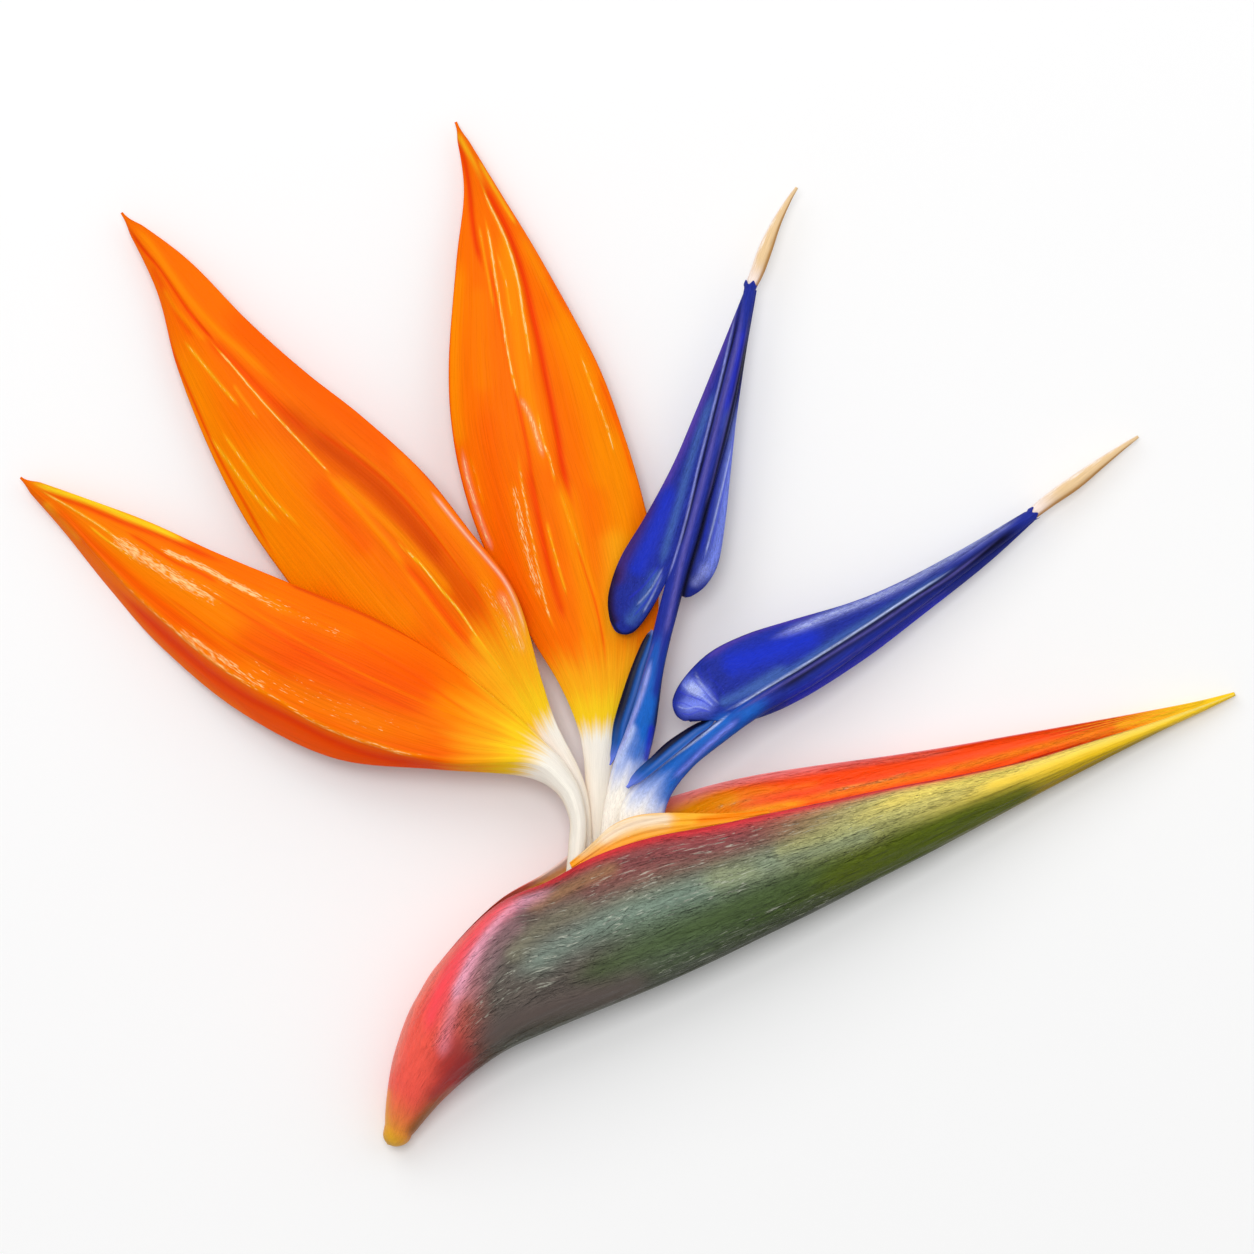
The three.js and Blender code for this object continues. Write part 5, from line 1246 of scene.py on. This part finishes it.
def trough_tint(x, y, tt, ss, ff, colours):
    """Tint and silk of the spathe's inside."""
    inside = (ff >= NEAR_INSIDE).astype(float)
    tint = coated(
        plain(colours.trough_gold, tt.shape),
        (colours.trough_red, ease(9.2, 11.5, tt)),
        (colours.golden, ease(15.8, 18, tt + 0.8 * np.sin(30 * ss))),
        (colours.salmon, 1 - ease(6.6, 7, tt)),
        (colours.film, band(6.8, 8.4, 0.3, tt) * (ff == FAR_INSIDE)),
    )
    # Faint painted highlight streaks (silk_highlight) on the inner face
    silk_highlight = 0.1 * band(9, 17, 1, tt)
    tint, silk_highlight, _ = paint(x, y, tint, silk_highlight, 0, TROUGH_MARKS, colours, inside)
    far_reach = 0.09 + 0.05 * band(8.5, 12.5, 1, tt)
    far_rim = (ff == FAR_INSIDE) * (1 - ease(0.02, far_reach, ss)) * band(8.4, 17.4, 0.6, tt)
    # The lemon line along the near edge of the inner face is a painted highlight
    near_edge = (ff == NEAR_INSIDE) * (1 - ease(0.0, 0.04, ss)) * 0.85
    tint = coated(
        tint,
        (colours.blush, far_rim),
        (colours.lemon, near_edge * band(7.5, 12.2, 0.5, tt)),
        (colours.crimson, near_edge * band(12.4, 16, 0.5, tt)),
    )
    return tint, silk_highlight


class FLOWER_OT_spathe(bpy.types.Operator):
    """Build the boat-shaped bract with its beak."""

    bl_idname = "flower.spathe"
    bl_label = "Spathe"

    def execute(self, context):
        sizes, colours = context.scene.flower_sizes, context.scene.spathe_colours
        t, rings, share, face = spathe_rings(SPATHE_STATIONS, SPATHE_OUTER_CELLS, SPATHE_INNER_CELLS)
        rings = rounded_nose(t, rings)
        tt, ss = np.meshgrid(t, share, indexing="ij")
        tt, ff = np.meshgrid(t, face, indexing="ij")
        outside = (ff < NEAR_INSIDE).astype(float)
        x, y = rings[:, :, 0], rings[:, :, 1]

        tint = outer_tint(tt, ss, colours)
        # Painted highlight streaks (silk_highlight) over the side of the spathe, for light on its fine
        # wrinkles
        silk_highlight = 0.07 + 0.42 * band(0.04, 0.9, 0.05, ss) * band(4.4, 13, 1.1, tt + 0.8 * ss)
        clear = np.where(ff == NEAR_OUTSIDE, 1 - ease(0.88, 1, ss), 1 - ease(0.5, 0.8, ss))
        tint, silk_highlight, _ = paint(x, y, tint, silk_highlight, 0, SPATHE_MARKS, colours, clear * outside)
        tint = rim_tint(tint, tt, ss, ff, colours)
        inner_tint, inner_silk = trough_tint(x, y, tt, ss, ff, colours)
        tint = np.where(outside[:, :, None] > 0, tint, inner_tint)
        silk_highlight = np.where(outside > 0, silk_highlight, inner_silk)

        ripple = np.sin(46 * ss + 2.2 * np.sin(0.9 * tt) + 1.3 * np.sin(2.3 * tt + 9 * ss))
        ripple += 0.7 * np.sin(83 * ss - 1.7 * np.sin(1.3 * tt + 1) + 0.6 * tt)
        calm = ease(0.04, 0.2, ss) * (1 - ease(0.88, 1, ss)) * band(3, 16.5, 1.5, tt)
        height = sizes.spathe_ripple * (MILLIMETRES / 2) * ripple * calm * outside
        rings = rippled(rings, height)
        step = np.linalg.norm(np.roll(rings, -1, axis=1) - rings, axis=2).mean(axis=0)
        around = np.concatenate([[0], np.cumsum(step)]) / step.sum()
        along = (t - t[0]) / (t[-1] - t[0])
        piece = loft_object("spathe_skin", rings, along, around, tint, silk_highlight)
        material = plant_skin(
            "Spathe skin", fibres=(62, 190), tone=(0.9, 1.36), silk_highlight=(linear(216, 218, 200), 0.5),
            silk_grain=(50, 200), roughness=(0.28, 0.42), relief=(1.0, 0.0007), coat=0.08,
            distortion=1.2, calm=0.25, gloss=0.12,
        )
        dress(piece, material, "spathe", "spathe")
        return {"FINISHED"}


# Bracteole
BRACTEOLE_RAILS = 12
THIN_EDGE = 0.35


class FLOWER_OT_bracteole(bpy.types.Operator):
    """Build the thin flap that stands past the near rim."""

    bl_idname = "flower.bracteole"
    bl_label = "Bracteole"

    def execute(self, context):
        sizes, colours = context.scene.flower_sizes, context.scene.sepal_colours
        thick = sizes.bracteole_thickness * MILLIMETRES
        under = CLEARANCE + BRACTEOLE_THICKNESS / 2 + BRACTEOLE_EASE
        rails = []
        for i in range(BRACTEOLE_RAILS + 1):
            share = (BRACTEOLE_TO - BRACTEOLE_FROM) * i / BRACTEOLE_RAILS
            row = course(SPATHE_SECTIONS, BRACTEOLE_FROM + share)[0]
            rise = course(BRACTEOLE_RISE, i / BRACTEOLE_RAILS * (len(BRACTEOLE_RISE) - 1))[0][0]
            keel = np.array([row[0], row[1], row[6]])
            rim = np.array([row[2], row[3], row[6]])
            half, gap, wall = row[7], row[8], row[10]
            rim_angle = np.arcsin(min(gap / half, 1))
            start = KEEL_WALL / np.linalg.norm(rim - keel)

            def place(angle):
                """Point of the trough's lining at an angle from the rim to the keel."""
                reach = (1 + np.cos(angle)) / (1 + np.cos(rim_angle))
                point = keel + (rim - keel) * (start + (1 - start) * reach)
                return point + [0, 0, max(half * np.sin(angle) - wall, 0)]

            def beside(angle):
                """Point just inside the lining."""
                slope = place(angle + 0.05) - place(angle)
                flat = np.hypot(slope[0], slope[1])
                inward = np.array([-slope[0] * slope[2] / flat, -slope[1] * slope[2] / flat, flat])
                return place(angle) - under * inward / np.linalg.norm(inward)

            level = beside(rim_angle)
            out = level - keel
            out[2] = 0
            free = level + out / np.linalg.norm(out) * (rise + under)
            rails.append([beside(rim_angle + BRACTEOLE_LAP), level, free])
        t, v, grid = blade_grid(rails, stations=150, cells=(16, 26), bulge=(0, BRACTEOLE_BULGE), rounding=2)

        uu, vv = np.meshgrid(t / t[-1], v, indexing="ij")
        folds = 0.12 * np.sin(34 * vv + 5 * uu) + 0.08 * np.sin(61 * vv - 9 * uu)
        lift = folds * ease(0.45, 0.7, vv)
        rings, corner_v = blade_rings(t, v, grid, even(thick), THIN_EDGE, lift)
        tint = plain(colours.gold, uu.shape)
        # Painted highlight streaks (silk_highlight) on the part that stands past the near rim
        silk_highlight = 0.3 * ease(0.5, 0.7, vv)
        x, y = grid[:, :, 0], grid[:, :, 1]
        tint, silk_highlight, _ = paint(x, y, tint, silk_highlight, lift, BRACTEOLE_MARKS, colours)
        tint, silk_highlight = both_faces(tint, tint), both_faces(silk_highlight, silk_highlight)
        piece = loft_object("bracteole_skin", rings, t / t[-1], corner_v, tint, silk_highlight)
        material = plant_skin(
            "Bracteole skin", fibres=(14, 60), tone=(0.9, 1.06), silk_highlight=(linear(255, 250, 238), 0.6),
            silk_grain=(20, 70), roughness=(0.3, 0.45), relief=(0.35, 0.00012), coat=0.1,
        )
        dress(piece, material, "bracteole", "bracteole")
        return {"FINISHED"}


# Sepals
def sepal_thickness(t):
    """Thick at the claw and thin in the blade."""
    return CLAW_THICKNESS + (SEPAL_THICKNESS - CLAW_THICKNESS) * ease(2, 6, t)


SEPALS = {
    # rails, marks, the stations where cream, yellow and orange begin, and how much wider the claw is
    "sepal_left": (SEPAL_LEFT, SEPAL_LEFT_MARKS, (3.7, 4.25, 4.6, 5.1), 0.25),
    "sepal_middle": (SEPAL_MIDDLE, SEPAL_MIDDLE_MARKS, (3.9, 4.5, 5.4, 6.2), 0.5),
    "sepal_upper": (SEPAL_UPPER, SEPAL_UPPER_MARKS, (3.7, 4.3, 5.1, 6.0), 0.55),
}


class FLOWER_OT_sepals(bpy.types.Operator):
    """Build the three orange sepals with their cream claws."""

    bl_idname = "flower.sepals"
    bl_label = "Sepals"

    def execute(self, context):
        sizes, colours = context.scene.flower_sizes, context.scene.sepal_colours
        material = plant_skin(
            "Sepal skin", fibres=(18, 170), tone=(0.84, 1.08), silk_highlight=(tuple(colours.silk_highlight), 0.8),
            silk_grain=(96, 170), roughness=(0.32, 0.46), relief=(0.6, 0.00012), calm=0.8, gloss=0.03,
        )
        for name, (rails, marks, change, wider) in SEPALS.items():
            t, v, grid = blade_grid(rails, stations=300, cells=(60, 60), bulge=(0.06, 0.04), rounding=5)
            tt, vv = np.meshgrid(t, v, indexing="ij")
            middle = grid.mean(axis=1, keepdims=True)
            taper = 1 + wider * (1 - ease(1.2, 3.4, t)) - 0.7 * ease(t[-1] - 0.3, t[-1], t)
            grid = middle + (grid - middle) * taper[:, None, None]
            x, y = grid[:, :, 0], grid[:, :, 1]
            tint, silk_highlight, lift = paint(x, y, plain(colours.orange, tt.shape), 0, 0, marks, colours)
            streaky = tt + 0.06 * np.sin(31 * vv) + 0.05 * np.sin(97 * vv + 2)
            side = 1 - ease(0, 0.3, np.minimum(vv, 1 - vv))
            tint = coated(
                tint,
                (colours.amber, 0.85 * (1 - ease(change[2] - 0.1, change[3], streaky))),
                (colours.yellow, 1 - ease(change[1], change[2], streaky)),
                (colours.cream, 1 - ease(change[0], change[1], streaky)),
                (colours.claw_shade, 0.6 * (1 - ease(change[0] - 1, change[0], tt)) * side),
            )
            silk_highlight = silk_highlight * ease(change[0], change[2], tt)
            edge = sizes.sepal_edge * MILLIMETRES
            lift = lift * sizes.sepal_ridge * MILLIMETRES
            rings, corner_v = blade_rings(t, v, grid, sepal_thickness, edge, lift)
            tint = both_faces(tint, towards(tint, colours.deep_orange, 0.25))
            silk_highlight = both_faces(silk_highlight, 0.5 * silk_highlight)
            piece = loft_object(name + "_skin", rings, t / t[-1], corner_v, tint, silk_highlight)
            dress(piece, material, "sepal", name)
        return {"FINISHED"}


# Arrows
CUP_GUIDE = -12
CUP_TEETH = 5
# How far each ring of the cup stands ahead of the rib's end, and how much wider it is
CUP_RINGS = ((0.3, 1.06), (0.75, 1.16), (1.1, 1.2), (1.15, 1.14), (0.8, 1.08), (0.3, 0.98), (0.12, 0.8))
ARROWS = {
    # rib, wings, marks, and the line from the white foot to the blue stalk
    "arrow_upper": (
        ARROW_UPPER_RIB,
        [ARROW_UPPER_LEFT_WING, ARROW_UPPER_RIGHT_WING],
        ARROW_UPPER_MARKS,
        ((-11.8, 26), (-10.6, 33)),
    ),
    "arrow_right": (
        ARROW_RIGHT_RIB,
        [ARROW_RIGHT_UPPER_WING, ARROW_RIGHT_LOWER_WING],
        ARROW_RIGHT_MARKS,
        ((-9, 21.8), (-4.6, 27.6)),
    ),
}


def share_along(x, y, line):
    """0 at the first point of a line seen from above and 1 at its second point."""
    start, run = np.array(line[0]), np.subtract(line[1], line[0])
    return ((x - start[0]) * run[0] + (y - start[1]) * run[1]) / (run @ run)


def cupped(t, rings):
    """A stalk's rings with a small toothed cup at the end, round the foot of a style."""
    centre = rings[-1].mean(axis=0)
    forward = centre - rings[CUP_GUIDE].mean(axis=0)
    forward /= np.linalg.norm(forward)
    angle = 2 * np.pi * np.arange(rings.shape[1]) / rings.shape[1]
    added = [rings]
    for ahead, spread in CUP_RINGS:
        reach = ahead * (1 + 0.35 * np.sin(CUP_TEETH * angle) * (ahead > 0.5))
        added.append((centre + (rings[-1] - centre) * spread + forward * reach[:, None])[None])
    more = t[-1] + 0.01 * np.arange(1, len(CUP_RINGS) + 1)
    return np.concatenate([t, more]), np.concatenate(added)


class FLOWER_OT_arrows(bpy.types.Operator):
    """Build the two blue arrows with their ribs and wings."""

    bl_idname = "flower.arrows"
    bl_label = "Arrows"

    def execute(self, context):
        sizes, colours = context.scene.flower_sizes, context.scene.arrow_colours
        # Pale blue silk_highlight flecks: painted sheen on the wings and ribs, which get a base amount of it
        material = plant_skin(
            "Arrow skin", fibres=(58, 44), tone=(0.7, 1.5), silk_highlight=(tuple(colours.pale_blue), 0.55),
            silk_grain=(80, 48), roughness=(0.28, 0.44), relief=(0.9, 0.0002), distortion=1.6,
            calm=0.4, gloss=0.08,
        )
        edge = sizes.wing_edge * MILLIMETRES
        for name, (rib, wings, marks, foot) in ARROWS.items():
            t, rings, corner_v = stalk_rings(rib, stations=260, sides=48)
            t, rings = cupped(t, rings)
            tt, vv = np.meshgrid(t, corner_v[:-1], indexing="ij")
            x, y = rings[:, :, 0], rings[:, :, 1]
            from_foot = share_along(x, y, foot) + 0.1 * np.sin(34 * vv) + 0.05 * np.sin(81 * vv + 1)
            tint = towards(plain(colours.azure, tt.shape), colours.blue, ease(2.4, 4.4, from_foot))
            tint, silk_highlight, lift = paint(x, y, tint, 0.1, 0, marks, colours)
            silk_highlight = silk_highlight * ease(0, 1.5, from_foot)
            tint = towards(tint, colours.pale_blue, 0.7 * (1 - ease(0.3, 1.5, from_foot)))
            tint = towards(tint, colours.white, 1 - ease(-0.3, 0.8, from_foot))
            tint = paint(x, y, tint, 0, 0, ARROW_FEET, colours)[0]
            rings[:, :, 2] += lift * band(0.25, 0.75, 0.1, vv)
            parts = [loft_object(name + "_rib", rings, t / t[-1], corner_v, tint, silk_highlight)]
            for number, wing in enumerate(wings):
                t, v, grid = blade_grid(wing, stations=200, cells=(46,), bulge=(0.08,), rounding=0)
                x, y = grid[:, :, 0], grid[:, :, 1]
                tint, silk_highlight, lift = paint(x, y, plain(colours.blue, x.shape), 0.2, 0, marks, colours)
                rings, corner_v = blade_rings(t, v, grid, even(WING_THICKNESS), edge, lift)
                tint, silk_highlight = both_faces(tint, tint), both_faces(silk_highlight, silk_highlight)
                title = name + "_wing_" + str(number)
                parts.append(loft_object(title, rings, t / t[-1], corner_v, tint, silk_highlight))
            dress(joined(name + "_skin", parts), material, "arrow", name)
        return {"FINISHED"}


# Styles
class FLOWER_OT_styles(bpy.types.Operator):
    """Build the two pale styles that end the arrows."""

    bl_idname = "flower.styles"
    bl_label = "Styles"

    def execute(self, context):
        colours = context.scene.arrow_colours
        material = plant_skin(
            "Style skin", fibres=(6, 40), tone=(0.86, 1.1), silk_highlight=(linear(255, 246, 236), 0.7),
            silk_grain=(8, 40), roughness=(0.32, 0.5), relief=(0.5, 0.0001),
        )
        for name, rows in (("style_upper", STYLE_UPPER), ("style_right", STYLE_RIGHT)):
            t, rings, corner_v = stalk_rings(rows, stations=140, sides=40)
            tt, vv = np.meshgrid(t, corner_v[:-1], indexing="ij")
            # A band on one upper side is painted lighter with highlight streaks (style_foot and
            # silk_highlight): a painted highlight. A darker band lies on the other side
            tint = coated(
                plain(colours.style, tt.shape),
                (colours.style_foot, 1 - ease(0.3, 1.6, tt)),
                (colours.style_foot, 0.6 * ease(0.58, 0.72, vv)),
                (colours.style_edge, 0.9 * band(0.22, 0.4, 0.05, vv) * (1 - ease(4, 5, tt))),
            )
            silk_highlight = 0.7 * band(0.55, 0.8, 0.08, vv)
            piece = loft_object(name + "_skin", rings, t / t[-1], corner_v, tint, silk_highlight)
            dress(piece, material, "style", name)
        return {"FINISHED"}


# Nectar petals
class FLOWER_OT_nectar_petals(bpy.types.Operator):
    """Build the two small dark petals at the foot of the arrows."""

    bl_idname = "flower.nectar_petals"
    bl_label = "Nectar petals"

    def execute(self, context):
        colours = context.scene.arrow_colours
        material = plant_skin(
            "Nectar petal skin", fibres=(14, 30), tone=(0.84, 1.15), silk_highlight=(tuple(colours.pale_blue), 0.5),
            silk_grain=(16, 30), roughness=(0.3, 0.46), relief=(0.4, 0.0001), coat=0.1,
        )
        upper = NECTAR_UPPER_FOOT + NECTAR_UPPER
        right = NECTAR_RIGHT[:-1] + NECTAR_RIGHT_TIP
        for name, rails in (("nectar_petal_upper", upper), ("nectar_petal_right", right)):
            t, v, grid = blade_grid(rails, stations=120, cells=(30,), bulge=(0.12,), rounding=0)
            middle = grid.mean(axis=1, keepdims=True)
            narrow = 1 - 0.65 * (1 - ease(0, 0.6, t)) - 0.5 * ease(t[-1] - 0.4, t[-1], t)
            grid = middle + (grid - middle) * narrow[:, None, None]
            tt, vv = np.meshgrid(t, v, indexing="ij")
            ridges = 0.1 * np.sin(12 * vv)
            rings, corner_v = blade_rings(t, v, grid, even(NECTAR_THICKNESS), THIN_EDGE, ridges)
            # The lavender tip and the silk_highlight band are painted highlights
            tint = coated(
                plain(colours.navy, tt.shape),
                (colours.azure, 0.85 * ease(0.3, 0.6, vv)),
                (colours.steel, 0.7 * band(0.55, 0.8, 0.1, vv)),
                (colours.azure, 0.7 * (1 - ease(0.6, 2.6, tt))),
                (colours.periwinkle, 0.85 * (1 - ease(0.0, 1.2, tt))),
                (colours.mauve, 0.6 * ease(0.93, 1, vv)),
                (colours.lavender, 0.6 * ease(t[-1] - 0.5, t[-1], tt)),
            )
            silk_highlight = 0.3 * band(0.3, 0.8, 0.1, vv) * ease(0.5, 1.5, tt)
            tint, silk_highlight = both_faces(tint, tint), both_faces(silk_highlight, silk_highlight)
            piece = loft_object(name + "_skin", rings, t / t[-1], corner_v, tint, silk_highlight)
            dress(piece, material, "nectar_petal", name)
        return {"FINISHED"}


# Ovaries
class FLOWER_OT_ovaries(bpy.types.Operator):
    """Give the hidden ovaries their skin."""

    bl_idname = "flower.ovaries"
    bl_label = "Ovaries"

    def execute(self, context):
        colours = context.scene.spathe_colours
        weave = Weave("Ovary skin")
        noise = {"Scale": 420.0, "Detail": 4.0, "Roughness": 0.6}
        grain = weave.add("ShaderNodeTexNoise", "Grain", noise).outputs["Fac"]
        amount = weave.spread("Grain amount", grain, 0.35, 0.7, 0.0, 0.5)
        colour = weave.colour_mix("Ovary tint", amount, tuple(colours.ovary), linear(182, 186, 132))
        weave.tree.links.new(colour, weave.shader.inputs["Base Color"])
        bump = weave.add("ShaderNodeBump", "Relief", {"Height": grain, "Strength": 0.4, "Distance": 0.0002})
        weave.tree.links.new(bump.outputs["Normal"], weave.shader.inputs["Normal"])
        weave.shader.inputs["Roughness"].default_value = 0.5
        for name in ("ovary_first", "ovary_second"):
            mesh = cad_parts[name].data
            mesh.materials.clear()
            mesh.materials.append(weave.material)
        return {"FINISHED"}


# Stage
def soft_light(name, place, aim, width, power):
    """A large square light that looks at a point."""
    data = bpy.data.lights.new(name, "AREA")
    data.shape = "SQUARE"
    data.size = width
    data.energy = power
    light = bpy.data.objects.new(name, data)
    light.location = place
    direction = np.array(aim) - np.array(place)
    light.rotation_euler = Vector(direction).to_track_quat("-Z", "Y").to_euler()
    bpy.context.scene.collection.objects.link(light)


class FLOWER_OT_stage(bpy.types.Operator):
    """Build the plain floor, the soft lights and the camera."""

    bl_idname = "flower.stage"
    bl_label = "Stage"

    def execute(self, context):
        stage = context.scene.flower_stage
        mesh = bpy.data.meshes.new("floor")
        corners = [(FLOOR_REACH * x, FLOOR_REACH * y, 0) for x, y in ((-1, -1), (1, -1), (1, 1), (-1, 1))]
        mesh.from_pydata(corners, [], [(0, 1, 2, 3)])
        floor = bpy.data.objects.new("floor", mesh)
        context.scene.collection.objects.link(floor)
        paper = bpy.data.materials.new("Floor paper")
        paper.use_nodes = True
        shader = paper.node_tree.nodes["Principled BSDF"]
        shader.inputs["Base Color"].default_value = (*stage.floor, 1)
        shader.inputs["Roughness"].default_value = 0.9
        shader.inputs["Specular IOR Level"].default_value = 0.1
        mesh.materials.append(paper)
        aim = (0, 0.04, 0)
        soft_light("Key light", (-0.5, 0.8, 0.95), aim, 0.9, stage.key)
        soft_light("Fill light", (0.75, 0.7, 0.85), aim, 1.2, stage.fill)
        soft_light("Top light", (-0.25, 0.5, 3.2), aim, 1.2, stage.top)
        world = bpy.data.worlds.new("Studio")
        world.use_nodes = True
        background = world.node_tree.nodes["Background"]
        background.inputs["Color"].default_value = (1, 1, 1, 1)
        background.inputs["Strength"].default_value = stage.sky
        context.scene.world = world
        context.scene.view_settings.view_transform = "Standard"
        data = bpy.data.cameras.new("Camera")
        data.sensor_width = 36
        data.lens = data.sensor_width * (stage.camera_height - VIEW_LEVEL) / VIEW_WIDTH
        data.clip_end = 20
        camera = bpy.data.objects.new("Camera", data)
        camera.location = (VIEW_MIDDLE[0], VIEW_MIDDLE[1], stage.camera_height)
        context.scene.collection.objects.link(camera)
        context.scene.camera = camera
        return {"FINISHED"}


class FLOWER_PT_head(bpy.types.Panel):
    """Sizes, colours and pieces of the flower head."""

    bl_idname = "FLOWER_PT_head"
    bl_label = "Bird of Paradise"
    bl_space_type = "VIEW_3D"
    bl_region_type = "UI"
    bl_category = "Flower"

    def draw(self, context):
        layout = self.layout
        scene = context.scene
        groups = (
            ("Sizes", scene.flower_sizes), ("Sepals", scene.sepal_colours), ("Arrows", scene.arrow_colours),
            ("Spathe", scene.spathe_colours), ("Stage", scene.flower_stage),
        )
        for title, group in groups:
            box = layout.box()
            box.label(text=title)
            for key in group.bl_rna.properties.keys():
                if key not in ("rna_type", "name"):
                    box.prop(group, key)
        for operator in OPERATORS:
            layout.operator(operator.bl_idname)


OPERATORS = (
    FLOWER_OT_stage, FLOWER_OT_spathe, FLOWER_OT_bracteole, FLOWER_OT_sepals, FLOWER_OT_arrows,
    FLOWER_OT_styles, FLOWER_OT_nectar_petals, FLOWER_OT_ovaries,
)
CLASSES = (FlowerSizes, SepalColours, ArrowColours, SpatheColours, StageSettings, *OPERATORS, FLOWER_PT_head)


def register():
    """Registers the classes and the settings that they read."""
    for made in CLASSES:
        bpy.utils.register_class(made)
    bpy.types.Scene.flower_sizes = bpy.props.PointerProperty(type=FlowerSizes)
    bpy.types.Scene.sepal_colours = bpy.props.PointerProperty(type=SepalColours)
    bpy.types.Scene.arrow_colours = bpy.props.PointerProperty(type=ArrowColours)
    bpy.types.Scene.spathe_colours = bpy.props.PointerProperty(type=SpatheColours)
    bpy.types.Scene.flower_stage = bpy.props.PointerProperty(type=StageSettings)


def unregister():
    """Takes the settings and the classes away again."""
    del bpy.types.Scene.flower_stage
    del bpy.types.Scene.spathe_colours
    del bpy.types.Scene.arrow_colours
    del bpy.types.Scene.sepal_colours
    del bpy.types.Scene.flower_sizes
    for made in reversed(CLASSES):
        bpy.utils.unregister_class(made)


def main():
    """Registers the classes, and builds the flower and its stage."""
    register()
    bpy.ops.flower.stage()
    bpy.ops.flower.spathe()
    bpy.ops.flower.bracteole()
    bpy.ops.flower.sepals()
    bpy.ops.flower.arrows()
    bpy.ops.flower.styles()
    bpy.ops.flower.nectar_petals()
    bpy.ops.flower.ovaries()


if __name__ == "__main__":
    main()
